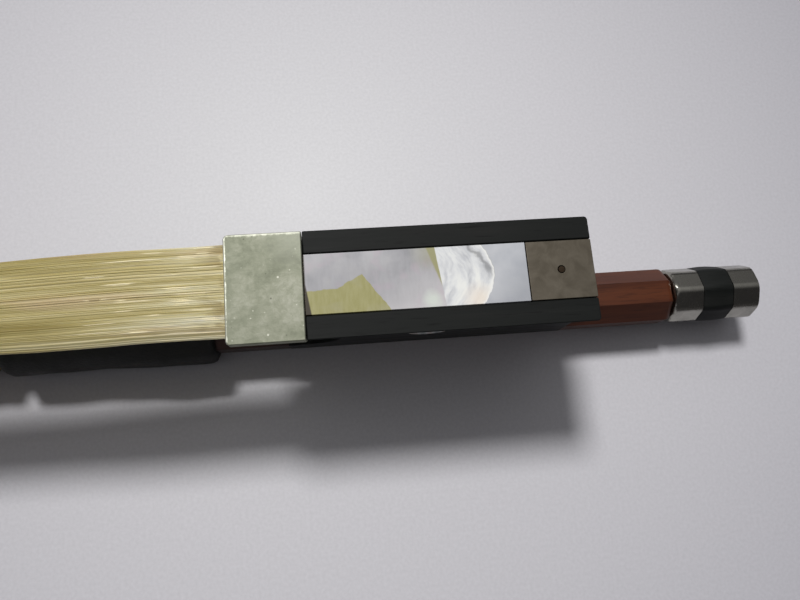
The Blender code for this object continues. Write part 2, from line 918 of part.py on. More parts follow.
def make_small_screw(name, start):
    profile = [
        (0.0, small_screw_length),
        (small_screw_radius, small_screw_length - gap),
        (small_screw_radius, underslide_thickness),
        (small_screw_head, 0.0),
        (0.0, 0.0),
    ]
    turned(name, profile, start, (0, 0, 1), frog_frame, nickel, 12)


def make_eyelet(block, strip):
    axis = -axis_to_flat
    eyelet = box(
        "eyelet",
        (eyelet_place - eyelet_length / 2, -eyelet_width / 2, axis - eyelet_below),
        (eyelet_place + eyelet_length / 2, eyelet_width / 2, axis + eyelet_above),
        frog_frame,
        brass,
    )
    top = axis + eyelet_above
    stem = rod(
        "stem_shape", (eyelet_place, 0, top - 2 * gap), (0, 0, 1), stem_radius, stem_length, frog_frame, cutter=True
    )
    join(eyelet, stem)
    far = eyelet_length
    hole = rod(
        "eyelet_hole_cutter", (eyelet_place - far, 0, axis), (1, 0, 0), screw_radius + gap, 2 * far, frog_frame,
        cutter=True,
    )
    cut(eyelet, hole)
    way = rod(
        "stem_cutter", (eyelet_place, 0, top - gap), (0, 0, 1), stem_radius + gap, stem_length, frog_frame,
        cutter=True,
    )
    cut(block, way)
    cut(strip, way)


def make_eyes(block):
    outer = waist(eye_depth)
    for name, side in (("pearl_eye_left", 1), ("pearl_eye_right", -1)):
        start = (eye_place, side * outer, -eye_depth)
        rod(name, start, (0, -side, 0), eye_radius, eye_thickness, frog_frame, pearl, sides=24)
        outside = (eye_place, side * (outer + eye_thickness), -eye_depth)
        hole = rod(
            name + "_cutter",
            outside,
            (0, -side, 0),
            eye_radius + gap,
            2 * eye_thickness + gap,
            frog_frame,
            cutter=True,
            sides=24,
        )
        cut(block, hole)


def make_slide():
    front = ferrule_length + gap
    back = slide_end - 2 * gap
    slab("pearl_slide", slide_outline(0.0, pearl_thickness), front, back, "yz", frog_frame, pearl)
    top = pearl_thickness + gap
    slab(
        "slide_backing",
        slide_outline(top, top + backing_thickness),
        backing_start,
        back,
        "yz",
        frog_frame,
        ebony,
    )
    box(
        "frog_plug",
        (frog_mortise_start + hair_thickness + 3 * gap, gap - frog_mortise_width / 2, -knot_depth() + gap),
        (
            frog_mortise_start + frog_mortise_length - gap,
            frog_mortise_width / 2 - gap,
            -channel_depth - gap,
        ),
        frog_frame,
        plain_wood,
    )


def make_wedge():
    """The wedge that spreads the hair across the ferrule, between the hair and the frog's tongue."""
    bottom = tongue_depth - gap
    hair_bottom = ferrule_wall + gap + hair_thickness
    late = pearl_thickness + 2 * gap + hair_thickness
    end = wedge_start + wedge_length
    rings = []
    for x, top, share in (
        (wedge_start, hair_bottom + gap, 0.97),
        (ferrule_length / 2, hair_bottom + gap, 0.92),
        (end, late + gap, 0.87),
    ):
        half = share * hair_width_ferrule / 2
        rings.append([(x, half, -top), (x, half, -bottom), (x, -half, -bottom), (x, -half, -top)])
    loft("spread_wedge", rings, frog_frame, plain_wood)


# Hair


def hair_section(x, top, half):
    """A flat band's section with eased corners."""
    low = top - hair_thickness
    side = [
        (x, half - hair_round, top),
        (x, half, top - hair_round),
        (x, half, low + hair_round),
        (x, half - hair_round, low),
    ]
    return side + [(u, -y, z) for u, y, z in reversed(side)]


def hair_top(x):
    """Height of the hair's playing side at a place along the bow."""
    start = head_x + heel_overhang
    share = (x - start) / (ferrule_x - start)
    at_head = face_height + gap + hair_thickness
    at_frog = flat_height - ferrule_wall - gap
    return at_head + (at_frog - at_head) * share


def make_hair():
    fan = ferrule_x - hair_fan_length
    head_end = head_x + heel_overhang + gap
    for name, ends, widths in (
        ("hair_ribbon", (head_end, fan), (hair_width_head, hair_width_fanned)),
        ("hair_at_frog", (fan + gap, ferrule_x - gap), (hair_width_fanned, hair_width_ferrule)),
    ):
        rings = []
        for x, width in zip(ends, widths):
            rings.append(hair_section(x - butt_x, hair_top(x) - axis_height, width / 2))
        loft(name, rings, handle_frame, horsehair)
    loft("hair_in_frog", hair_in_frog_rings(), frog_frame, horsehair)
    loft("hair_in_head", hair_in_head_rings(), head_frame, horsehair)


def hair_in_head_rings():
    """The hair's way from the heel of the head over the plate and down to its knot."""
    thick = hair_thickness
    wall = head_mortise_start + gap
    floor = face_height - head_mortise_depth + gap
    land = face_height + gap
    neck = head_mortise_width / 2 - 2 * gap
    stations = [
        ((-heel_overhang, land + thick), (-heel_overhang, land), hair_width_head / 2),
        ((0.4 * wall, land + thick), (0.4 * wall, land), (hair_width_head / 2 + 2 * neck) / 3),
        ((wall - 0.4 * thick, land + thick), (wall - gap, land), neck),
        ((wall + 0.7 * thick, land + 0.6 * thick), (wall, land - gap), neck),
        ((wall + thick, land - thick), (wall, land - 1.2 * thick), neck),
        ((wall + thick, floor + 2.8 * thick), (wall, floor + 1.6 * thick), neck),
        ((wall + 2.6 * thick, floor + 2.4 * thick), (wall + 2.2 * thick, floor), 0.9 * neck),
        ((wall + 7 * thick, floor + 2.4 * thick), (wall + 7 * thick, floor), 0.8 * neck),
    ]
    rings = []
    for (x1, z1), (x2, z2), half in stations:
        rings.append([(x1, half, z1), (x2, half, z2), (x2, -half, z2), (x1, -half, z1)])
    return rings


# Button and screw, measured back from the stick's butt


def button_ring_at(x, flats=None, radius=None):
    """A ring round the button's axis, eight-sided across flats or round."""
    points = []
    for angle in around(16):
        reach = radius
        if flats is not None:
            off_normal = (angle + math.pi / 8) % (math.pi / 4) - math.pi / 8
            reach = flats / 2 / math.cos(off_normal)
        turned_angle = angle - button_turn
        points.append((x, reach * math.cos(turned_angle), reach * math.sin(turned_angle)))
    return points


def make_button():
    ring_start = gap
    ring_end = ring_start + ring_length
    core_end = ring_end + core_length
    end = core_end + cap_length
    spigot = button_flats / 2 - button_wall
    ring = loft(
        "button_ring",
        [
            button_ring_at(ring_start, button_flats - 2 * ring_rim),
            button_ring_at(ring_start + 0.3 * ring_rim, button_flats - 0.6 * ring_rim),
            button_ring_at(ring_start + ring_rim, button_flats),
            button_ring_at(ring_end, button_flats),
        ],
        screw_axis,
        nickel,
    )
    bore_start = (-gap, 0, 0)
    ring_bore = rod(
        "ring_bore_cutter", bore_start, (1, 0, 0), spigot + gap, ring_end + 3 * gap, screw_axis, cutter=True, sides=24
    )
    cut(ring, ring_bore)
    face = ring_end + gap
    middle = (face + core_end) / 2
    core = loft(
        "button_core",
        [
            button_ring_at(ring_start + 2 * gap, radius=spigot),
            button_ring_at(face, radius=spigot),
            button_ring_at(face, button_flats),
            button_ring_at(middle, button_flats + 2 * core_swell),
            button_ring_at(core_end, button_flats),
            button_ring_at(core_end, radius=spigot),
            button_ring_at(end - button_wall - 2 * gap, radius=spigot),
        ],
        screw_axis,
        ebony,
    )
    seat = rod(
        "nipple_seat_cutter", bore_start, (1, 0, 0), nipple_radius + gap, nipple_length + 3 * gap, screw_axis,
        cutter=True,
    )
    screw_hole = rod(
        "screw_hole_cutter", bore_start, (1, 0, 0), screw_radius + gap, screw_in_button + 2 * gap, screw_axis,
        cutter=True,
    )
    cut(core, seat, screw_hole)
    cap = loft(
        "button_cap",
        [
            button_ring_at(core_end + gap, button_flats),
            button_ring_at(end - cap_chamfer, button_flats),
            button_ring_at(end, button_flats - 2 * cap_chamfer),
        ],
        screw_axis,
        nickel,
    )
    hollow = rod(
        "cap_cutter", (core_end, 0, 0), (1, 0, 0), spigot + gap, cap_length - button_wall, screw_axis, cutter=True,
        sides=24,
    )
    cut(cap, hollow)
    profile = [
        (0.0, screw_in_button),
        (screw_radius, screw_in_button),
        (screw_radius, screw_point - screw_reach),
        (screw_radius - screw_point, -screw_reach),
        (0.0, -screw_reach),
    ]
    turned("screw", profile, (0, 0, 0), (1, 0, 0), screw_axis, steel)


mortise_cutter = make_stick()
make_head_trim(mortise_cutter)
make_leather()
make_winding()
make_frog()
make_ferrule()
make_slide()
make_wedge()
make_hair()
make_button()
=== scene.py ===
# Violin bow, dressed over its CAD frame. Metres: +X toward the button, +Z out of the hair side.
import math
import random
from functools import partial

import bmesh
import bpy
from mathutils import Matrix, Vector


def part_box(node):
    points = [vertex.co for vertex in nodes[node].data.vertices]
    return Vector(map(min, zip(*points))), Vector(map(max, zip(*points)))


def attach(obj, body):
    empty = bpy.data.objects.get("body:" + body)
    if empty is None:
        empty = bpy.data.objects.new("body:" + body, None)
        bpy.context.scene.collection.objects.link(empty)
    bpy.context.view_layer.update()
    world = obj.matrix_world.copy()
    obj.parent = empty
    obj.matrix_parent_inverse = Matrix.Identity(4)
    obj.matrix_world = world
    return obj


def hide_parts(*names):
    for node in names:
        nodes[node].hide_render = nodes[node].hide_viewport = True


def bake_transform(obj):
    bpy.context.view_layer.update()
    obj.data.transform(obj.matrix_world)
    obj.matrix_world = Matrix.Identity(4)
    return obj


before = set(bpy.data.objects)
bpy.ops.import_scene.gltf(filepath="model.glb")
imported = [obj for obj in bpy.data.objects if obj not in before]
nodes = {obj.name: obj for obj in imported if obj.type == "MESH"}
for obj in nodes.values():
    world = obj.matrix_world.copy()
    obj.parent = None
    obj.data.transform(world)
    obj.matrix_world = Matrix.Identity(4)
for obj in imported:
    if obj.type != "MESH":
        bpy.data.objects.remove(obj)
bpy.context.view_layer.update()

bow = {
    "axisHeight": 0.00565,  # of the stick's axis at the butt
    "flatHeight": 0.02765,  # of the frog's flat face
    "buttX": 0.3587,
    "ferruleX": 0.2942,
    "headX": -0.348,
    "gap": 0.0001,  # between pieces that touch or run on each other
}


# camera, at the photograph's angle

view = {
    "place": (0.308089, -0.018318, 0.102076),
    "right": (0.99410, -0.07986, 0.07343),
    "up": (0.06260, 0.97470, 0.21170),
    "focal": 28.82,  # mm on a 36 mm wide sensor
}


def makeCamera():
    camera = bpy.data.objects.new("photoCamera", bpy.data.cameras.new("photoCamera"))
    bpy.context.scene.collection.objects.link(camera)
    right = Vector(view["right"]).normalized()
    back = right.cross(Vector(view["up"])).normalized()
    up = back.cross(right)
    turn = Matrix((right, up, back)).transposed().to_4x4()
    camera.matrix_world = Matrix.Translation(view["place"]) @ turn
    camera.data.lens = view["focal"]
    camera.data.sensor_width = 36
    camera.data.clip_start = 0.005
    camera.data.clip_end = 20
    bpy.context.scene.camera = camera


makeCamera()
print("camera placed")


# working helpers


def pickOnly(*pieces):
    if bpy.context.object and bpy.context.object.mode != "OBJECT":
        bpy.ops.object.mode_set(mode="OBJECT")
    bpy.ops.object.select_all(action="DESELECT")
    for piece in pieces:
        piece.select_set(True)
    bpy.context.view_layer.objects.active = pieces[-1]


def editAll(piece):
    pickOnly(piece)
    bpy.ops.object.mode_set(mode="EDIT")
    bpy.ops.mesh.select_all(action="SELECT")


def applyModifier(piece, kind, **settings):
    modifier = piece.modifiers.new(kind.lower(), kind)
    for name, value in settings.items():
        setattr(modifier, name, value)
    pickOnly(piece)
    bpy.ops.object.modifier_apply(modifier=modifier.name)


def softenEdges(piece, width, segments=2, angle=30):
    applyModifier(
        piece,
        "BEVEL",
        width=width,
        segments=segments,
        limit_method="ANGLE",
        angle_limit=math.radians(angle),
        use_clamp_overlap=False,
        harden_normals=False,
    )


def shadeRound(piece, angle=35):
    pickOnly(piece)
    bpy.ops.object.shade_smooth_by_angle(angle=math.radians(angle))


def evenNormals(piece, angle=35):
    shadeRound(piece, angle)
    applyModifier(piece, "WEIGHTED_NORMAL", keep_sharp=True, weight=50)


def finishPiece(piece, body, finish, slotName, *replaced):
    piece.data.materials.clear()
    piece.data.materials.append(finish)
    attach(piece, body)
    if replaced:
        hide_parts(*replaced)
    return piece


def copyOfNode(nodeName, pieceName, edge=0.0, segments=2, angle=40):
    # A merged copy of a CAD piece, with its flats made whole and its edges eased.
    piece = bpy.data.objects.new(pieceName, nodes[nodeName].data.copy())
    bpy.context.scene.collection.objects.link(piece)
    editAll(piece)
    bpy.ops.mesh.remove_doubles(threshold=0.000004)
    bpy.ops.mesh.dissolve_limited(angle_limit=math.radians(1))
    pickOnly(piece)
    bpy.ops.mesh.customdata_custom_splitnormals_clear()
    if edge:
        softenEdges(piece, edge, segments, angle)
    evenNormals(piece)
    return piece


def combine(piece, other, operation):
    applyModifier(piece, "BOOLEAN", operation=operation, object=other, solver="EXACT")
    bpy.data.objects.remove(other, do_unlink=True)


def cutAcross(piece, place, way):
    editAll(piece)
    bpy.ops.mesh.bisect(plane_co=place, plane_no=way)
    pickOnly(piece)


def skinRings(name, rings):
    # A cylinder whose rows are cut across and moved to the given rings.
    count = len(rings[0])
    bpy.ops.object.select_all(action="DESELECT")
    bpy.ops.mesh.primitive_cylinder_add(vertices=count, radius=1, depth=1, end_fill_type="NGON")
    piece = bpy.context.object
    piece.name = name
    bpy.ops.object.mode_set(mode="EDIT")
    bpy.ops.mesh.select_all(action="DESELECT")
    shape = bmesh.from_edit_mesh(piece.data)
    for edge in shape.edges:
        edge.select = abs(edge.verts[0].co.z - edge.verts[1].co.z) > 0.5
    bmesh.update_edit_mesh(piece.data)
    if len(rings) > 2:
        bpy.ops.mesh.subdivide_edgering(
            number_cuts=len(rings) - 2, interpolation="LINEAR", smoothness=0
        )
    bpy.ops.object.mode_set(mode="OBJECT")
    for vertex in piece.data.vertices:
        row = round((vertex.co.z + 0.5) * (len(rings) - 1))
        column = round(math.atan2(vertex.co.x, vertex.co.y) / (2 * math.pi) * count) % count
        vertex.co = rings[row][column]
    editAll(piece)
    bpy.ops.mesh.normals_make_consistent(inside=False)
    pickOnly(piece)
    return piece


def between(points, value):
    # A smooth curve through (value, result) points.
    if value <= points[0][0]:
        return points[0][1]
    if value >= points[-1][0]:
        return points[-1][1]
    last = len(points) - 1
    i = max(k for k in range(last) if points[k][0] <= value)
    slopes = []
    for k in (i, i + 1):
        before = points[max(k - 1, 0)]
        after = points[min(k + 1, last)]
        slopes.append((after[1] - before[1]) / (after[0] - before[0]))
    width = points[i + 1][0] - points[i][0]
    t = (value - points[i][0]) / width
    rise = (2 * t**3 - 3 * t**2 + 1) * points[i][1] + (3 * t**2 - 2 * t**3) * points[i + 1][1]
    return rise + width * ((t**3 - 2 * t**2 + t) * slopes[0] + (t**3 - t**2) * slopes[1])


def eased(t):
    t = min(max(t, 0.0), 1.0)
    return t * t * (3 - 2 * t)


# materials


def linearColour(hexColour):
    values = []
    for k in (1, 3, 5):
        v = int(hexColour[k : k + 2], 16) / 255
        values.append(v / 12.92 if v <= 0.04045 else ((v + 0.055) / 1.055) ** 2.4)
    return (*values, 1.0)


def setInputs(node, *inOrder, **named):
    # Sets a node's inputs, or links them where an output is given. Colours are sRGB hex.
    for name, value in (*enumerate(inOrder), *named.items()):
        socket = node.inputs[name.replace("_", " ") if isinstance(name, str) else name]
        if isinstance(value, bpy.types.NodeSocket):
            node.id_data.links.new(value, socket)
        else:
            socket.default_value = linearColour(value) if isinstance(value, str) else value


def addNode(tree, kind, *inOrder, out=0, stops=(), **named):
    # Named inputs start with a capital and settings don't. Without out it gives the node.
    node = tree.nodes.new("ShaderNode" + kind)
    for name in [name for name in named if name.islower()]:
        setattr(node, name, named.pop(name))
    setInputs(node, *inOrder, **named)
    for k, (where, colour) in enumerate(stops):
        elements = node.color_ramp.elements
        if k == 0:
            elements.remove(elements[1])
        element = elements.new(where) if k else elements[0]
        element.position, element.color = where, linearColour(colour)
    return node if out is None else node.outputs[out]


def newFinish(name, **named):
    finish = bpy.data.materials.new(name)
    finish.use_nodes = True
    shader = finish.node_tree.nodes["Principled BSDF"]
    setInputs(shader, **named)
    return finish, partial(addNode, finish.node_tree), shader


def pieceCoordinates(add, stretch=(1, 1, 1), shift=(0, 0, 0)):
    place = add("TexCoord", out="Object")
    return add("Mapping", Vector=place, Location=shift, Scale=stretch)


def makeVarnishedWood():
    # pernambuco, planed and French polished: dark red-brown under a clear warm gloss,
    # with fine pores along the stick
    finish, add, shader = newFinish(
        "French polished pernambuco",
        Roughness=0.46,
        Specular_IOR_Level=0.25,
        Coat_Weight=0.15,
        Coat_Roughness=0.2,
        Coat_IOR=1.5,
    )
    grain = add(
        "TexNoise", Vector=pieceCoordinates(add, (0.05, 1, 1)), Scale=1 / 0.0012, Detail=6,
        Roughness=0.6,
    )
    streaks = add(
        "TexNoise", Vector=pieceCoordinates(add, (0.02, 1, 1)), Scale=1 / 0.0035, Detail=3,
        Roughness=0.5, Distortion=0.3,
    )
    pores = add(
        "TexNoise", Vector=pieceCoordinates(add, (0.08, 1, 1)), Scale=1 / 0.0003, Detail=2,
        Roughness=0.5,
    )
    body = add("ValToRGB", streaks, stops=[(0.3, "#452111"), (0.55, "#4f2713"), (0.8, "#5a2f18")])
    fine = add("ValToRGB", grain, stops=[(0.35, "#b8a498"), (0.65, "#ffffff")])
    colour = add("MixRGB", 0.6, body, fine, blend_type="MULTIPLY")
    dots = add("ValToRGB", pores, stops=[(0.33, "#7a6a64"), (0.42, "#ffffff")])
    colour = add("MixRGB", 0.35, colour, dots, blend_type="MULTIPLY")
    # painted shade on the stick between the thumb leather and the frog, where the ferrule and frog
    # shade it; the mask worn holds this painted shade
    x = add("SeparateXYZ", Vector=pieceCoordinates(add), out="X")
    worn = add("MapRange", x, 0.282, 0.288)
    worn = add("Math", worn, add("MapRange", x, 0.314, 0.302), operation="MULTIPLY")
    colour = add("MixRGB", add("Math", worn, 0.72, operation="MULTIPLY"), colour, "#131010")
    setInputs(
        shader, Base_Color=colour, Normal=add("Bump", Height=grain, Distance=0.00002, Strength=0.5)
    )
    return finish


def makeEbony():
    # ebony, scraped and oiled: nearly black with brown-grey streaks, a low sheen, open pores
    finish, add, shader = newFinish("oiled ebony", Specular_IOR_Level=0.14)
    streaks = add(
        "TexNoise", Vector=pieceCoordinates(add, (0.06, 1, 1)), Scale=1 / 0.0016, Detail=6,
        Roughness=0.62, Distortion=0.4,
    )
    fine = add(
        "TexNoise", Vector=pieceCoordinates(add, (0.07, 1, 1)), Scale=1 / 0.00028, Detail=3,
        Roughness=0.6,
    )
    colour = add(
        "ValToRGB", streaks, stops=[(0.3, "#101211"), (0.55, "#151716"), (0.78, "#20201f")]
    )
    pores = add("ValToRGB", fine, stops=[(0.3, "#5a5a5a"), (0.42, "#ffffff")])
    setInputs(
        shader, Base_Color=add("MixRGB", 0.8, colour, pores, blend_type="MULTIPLY"),
        Roughness=add("MapRange", streaks, 0.3, 0.7, 0.5, 0.64),
        Normal=add("Bump", Height=fine, Distance=0.00002, Strength=0.5),
    )
    return finish


def makeTarnishedNickel():
    # nickel silver, filed and hand polished long ago: greenish grey tarnish in clouds,
    # bright rims that are partly worn polish and partly painted highlight, and fine scratches
    finish, add, shader = newFinish("tarnished nickel silver", Metallic=1.0)
    place = pieceCoordinates(add)
    blotch = add(
        "TexNoise", Vector=place, Scale=1 / 0.0042, Detail=5, Roughness=0.6, Distortion=0.8
    )
    mottle = add(
        "TexNoise", Vector=place, Scale=1 / 0.0008, Detail=4, Roughness=0.7, Distortion=0.4
    )
    both = add("Math", blotch, 0.6, operation="MULTIPLY")
    both = add("Math", mottle, 0.4, both, operation="MULTIPLY_ADD")
    colour = add(
        "ValToRGB", both,
        stops=[(0.36, "#7c7f70"), (0.47, "#868979"), (0.56, "#8f9182"), (0.66, "#9a9b8e")],
    )
    axes = add("SeparateXYZ", Vector=place, out=None)
    x, y = axes.outputs["X"], axes.outputs["Y"]
    wobble = add("Math", mottle, 0.0006, -0.0003, operation="MULTIPLY_ADD")
    front = add("Math", x, wobble, operation="ADD")
    front = add("Math", front, bow["ferruleX"], operation="SUBTRACT")
    # bright rims: worn polish at the front rim, with a painted highlight on it and on the far
    # side's rim
    frontRimWearAndHighlight = add("MapRange", front, 0.00014, 0.00036, 1.0, 0.0)
    farRimHighlight = add("MapRange", add("Math", y, wobble, operation="ADD"), 0.0063, 0.0066, 0.0, 0.6)
    rim = add("Math", frontRimWearAndHighlight, farRimHighlight, operation="MAXIMUM", use_clamp=True)
    # paler toward the far rear corner
    corner = (0.3032, 0.0062, 0.02765)
    fromCorner = add("VectorMath", place, corner, out="Value", operation="DISTANCE")
    fromCorner = add("Math", mottle, 0.003, fromCorner, operation="MULTIPLY_ADD")
    paleFarCorner = add("MapRange", fromCorner, 0.001, 0.0062, 0.5, 0.0)
    # bright and dark specks, 0.9 mm apart and only where the cloud lets them through
    specks = add("TexVoronoi", Vector=place, Scale=1100.0, out="Distance", feature="F1")
    gate = add("TexNoise", Vector=place, Scale=1 / 0.0009, Detail=2)
    bright = add(
        "Math", add("MapRange", specks, 0.10, 0.18, 1.0, 0.0), add("MapRange", gate, 0.54, 0.6),
        operation="MULTIPLY",
    )
    dark = add(
        "Math", add("MapRange", specks, 0.08, 0.16, 1.0, 0.0),
        add("MapRange", gate, 0.38, 0.43, 1.0, 0.0), operation="MULTIPLY",
    )
    for mask, strength, paint in (
        (paleFarCorner, 1.0, "#b4b6aa"),
        (rim, 0.8, "#dfe0d4"),
        (bright, 0.65, "#d6d6ca"),
        (dark, 0.55, "#3b3c32"),
    ):
        share = add("Math", mask, strength, operation="MULTIPLY")
        colour = add("MixRGB", share, colour, paint)
    rough = add("MapRange", both, 0.35, 0.7, 0.68, 0.64)
    scratch = add(
        "TexNoise", Vector=pieceCoordinates(add, (0.06, 1, 1)), Scale=1 / 0.00016, Detail=2,
        Roughness=0.5,
    )
    dents = add("Math", scratch, 0.25, mottle, operation="MULTIPLY_ADD")
    rimShine = add("Math", rim, 0.2, operation="MULTIPLY")
    setInputs(
        shader, Base_Color=colour, Roughness=add("Math", rough, rimShine, operation="SUBTRACT"),
        Normal=add("Bump", Height=dents, Distance=0.00004, Strength=0.5),
    )
    return finish


def makePlainNickel(name, low, high, roughness):
    # nickel silver, turned or filed flat and worn by the hand: warm grey with hairline marks
    finish, add, shader = newFinish(name, Metallic=1.0)
    place = pieceCoordinates(add)
    blotch = add(
        "TexNoise", Vector=place, Scale=1 / 0.0018, Detail=5, Roughness=0.6, Distortion=0.6
    )
    lines = add(
        "TexNoise", Vector=pieceCoordinates(add, (1, 0.06, 0.06)), Scale=1 / 0.00012, Detail=2
    )
    setInputs(
        shader, Base_Color=add("ValToRGB", blotch, stops=[(0.32, low), (0.68, high)]),
        Roughness=add("MapRange", blotch, 0.3, 0.7, roughness + 0.05, roughness - 0.05),
        Normal=add("Bump", Height=lines, Distance=0.00001, Strength=0.35),
    )
    return finish


def makePearl():
    # mother of pearl, ground flat and polished: lilac-grey nacre with a yellow-green patch
    # and one rippled fold, painted bright with its sheen, painted highlights and a painted shadow
    # line
    finish, add, shader = newFinish(
        "polished mother of pearl", Coat_Weight=0.35, Coat_Roughness=0.05
    )
    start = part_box("pearl_slide")[0].x
    place = pieceCoordinates(add, shift=(-start, 0, 0))
    soft = add("TexNoise", Vector=place, Scale=1 / 0.0035, Detail=3)
    fine = add(
        "TexNoise", Vector=pieceCoordinates(add, (1, 0.2, 1)), Scale=1 / 0.0004, Detail=4,
        Roughness=0.6,
    )
    axes = add("SeparateXYZ", Vector=place, out=None)
    x, y = axes.outputs["X"], axes.outputs["Y"]
    ripple = add("TexNoise", Vector=place, Scale=1 / 0.0011, Detail=3)
    ripple = add("Math", ripple, 0.0008, -0.0004, operation="MULTIPLY_ADD")

    def awayFrom(spotX, spotY):
        # how far from a spot on the face, made uneven by the ripple
        across = add("Math", x, spotX, operation="SUBTRACT")
        up = add("Math", y, spotY, operation="SUBTRACT")
        squares = [add("Math", side, side, operation="MULTIPLY") for side in (across, up)]
        far = add("Math", add("Math", *squares, operation="ADD"), operation="SQRT")
        return add("Math", far, ripple, operation="ADD")

    body = add("ValToRGB", soft, stops=[(0.3, "#99999d"), (0.5, "#a5a4a8"), (0.7, "#b0afb0")])
    body = add("MixRGB", add("MapRange", fine, 0.35, 0.75, 0.0, 0.4), body, "#b6b7bb")
    # paler along the far edge, and toward the fold on the near side
    pale = add(
        "Math", add("MapRange", y, 0.0012, 0.0036, 0.0, 0.5), add("MapRange", soft, 0.4, 0.6),
        operation="MULTIPLY",
    )
    body = add("MixRGB", pale, body, "#c3c3c6")
    slant = add("Math", x, 0.6, operation="MULTIPLY")
    slant = add("Math", y, -1.0, slant, operation="MULTIPLY_ADD")
    body = add("MixRGB", add("MapRange", slant, 0.006, 0.0125, 0.0, 0.75), body, "#cfccce")
    rosy = add(
        "TexNoise", Vector=pieceCoordinates(add, (1, 1, 1), (0.3, 0.1, 0)), Scale=1 / 0.0024,
        Detail=2,
    )
    body = add("MixRGB", add("MapRange", rosy, 0.52, 0.66, 0.0, 0.35), body, "#b9a9b4")

    # the yellow patch: low at the ferrule, highest 7 mm behind it, then falling steeply
    low = add("Math", x, 0.076, -0.00098, operation="MULTIPLY_ADD")
    rise = add("Math", x, 0.5, -0.00262, operation="MULTIPLY_ADD")
    fall = add("Math", x, -1.4, 0.0105, operation="MULTIPLY_ADD")
    crest = add("Math", add("Math", low, rise, operation="MAXIMUM"), fall, operation="MINIMUM")
    crest = add("Math", ripple, 0.7, crest, operation="MULTIPLY_ADD")
    patch = add("MapRange", add("Math", crest, y, operation="SUBTRACT"), -0.00006, 0.00006)
    yellow = add("MixRGB", add("MapRange", fine, 0.3, 0.7), "#98945f", "#a5a172")
    yellow = add("MixRGB", add("MapRange", soft, 0.5, 0.66, 0.0, 0.5), yellow, "#a9a68a")
    colour = add("MixRGB", patch, body, yellow)

    # the fold starts at a nearly straight line, with a green stripe before it
    line = add("Math", y, -0.12, 0.01635, operation="MULTIPLY_ADD")
    line = add("Math", ripple, 0.12, line, operation="MULTIPLY_ADD")
    past = add("Math", x, line, operation="SUBTRACT")
    wide = add("MapRange", y, -0.0016, 0.0036, 0.0, 0.00115)
    stripe = add(
        "Math", add("MapRange", add("Math", past, wide, operation="ADD"), 0.0, 0.0002),
        add("MapRange", y, -0.0016, -0.001), operation="MULTIPLY",
    )
    colour = add("MixRGB", add("Math", stripe, 0.9, operation="MULTIPLY"), colour, "#9c9969")
    haze = add(
        "Math", add("MapRange", past, -0.0034, -0.0012), add("MapRange", y, 0.0006, 0.0024),
        operation="MULTIPLY",
    )
    colour = add("MixRGB", add("Math", haze, 0.45, operation="MULTIPLY"), colour, "#9a9874")
    # painted highlight: a pale green glow before the fold's line
    glow = add("MapRange", awayFrom(0.0152, -0.0028), 0.0004, 0.0015, 0.85, 0.0)
    colour = add("MixRGB", glow, colour, "#d3dbd2")

    # it ends at a ragged edge, and its bands run beside that edge
    reach = add("Math", y, 0.0001, operation="SUBTRACT")
    bulge = add("Math", reach, reach, operation="MULTIPLY")
    bulge = add("Math", bulge, -105.0, operation="MULTIPLY")
    edge = add("Math", ripple, 0.9, 0.02295, operation="MULTIPLY_ADD")
    edge = add("Math", edge, bulge, operation="ADD")
    inside = add("Math", edge, x, operation="SUBTRACT")
    beforeEdge = add("MapRange", inside, -0.00005, 0.00005)
    afterLine = add("MapRange", past, -0.00004, 0.00004)
    fold = add("Math", afterLine, beforeEdge, operation="MULTIPLY", use_clamp=True)
    flow = add("CombineXYZ", X=inside, Y=add("Math", y, 0.35, operation="MULTIPLY"), out="Vector")
    bands = add("TexNoise", Vector=flow, Scale=1 / 0.0013, Detail=3, Roughness=0.55, Distortion=0.4)
    silk = add("TexNoise", Vector=flow, Scale=1 / 0.0003, Detail=3, Roughness=0.6)
    # the fold's bands: a figure in the nacre, painted bright with its sheen
    foldFigureAndSheen = add(
        "ValToRGB", bands,
        stops=[(0.32, "#b7b9be"), (0.44, "#cbcdd1"), (0.54, "#dcdee0"), (0.66, "#ebece9")],
    )
    foldFigureAndSheen = add("MixRGB", add("MapRange", silk, 0.4, 0.7, 0.0, 0.3), foldFigureAndSheen, "#f4f4f0")
    # a painted shadow line leaves the edge halfway up and runs to the far side 2 mm before it
    middle = add("MapRange", y, 0.0, 0.0036, 0.0004, 0.0016)
    offMiddle = add("Math", inside, ripple, operation="ADD")
    offMiddle = add("Math", offMiddle, middle, operation="SUBTRACT")
    offMiddle = add("Math", offMiddle, operation="ABSOLUTE")
    paintedShadowLine = add("MapRange", offMiddle, 0.0001, 0.0005, 0.75, 0.0)
    farHalf = add("MapRange", y, -0.0008, 0.0008)
    paintedShadowLine = add("Math", paintedShadowLine, farHalf, operation="MULTIPLY")
    foldFigureAndSheen = add("MixRGB", paintedShadowLine, foldFigureAndSheen, "#88898c")
    # painted highlight: warm white near the lower end of the edge
    warmHighlight = add("MapRange", awayFrom(0.0209, -0.0031), 0.0005, 0.0024, 0.8, 0.0)
    foldFigureAndSheen = add("MixRGB", warmHighlight, foldFigureAndSheen, "#efe4d6")
    # painted highlight along the fold's edge
    rim = add("MapRange", inside, 0.0001, 0.0004, 0.8, 0.0)
    foldFigureAndSheen = add("MixRGB", rim, foldFigureAndSheen, "#f2f2ef")
    colour = add("MixRGB", fold, colour, foldFigureAndSheen)
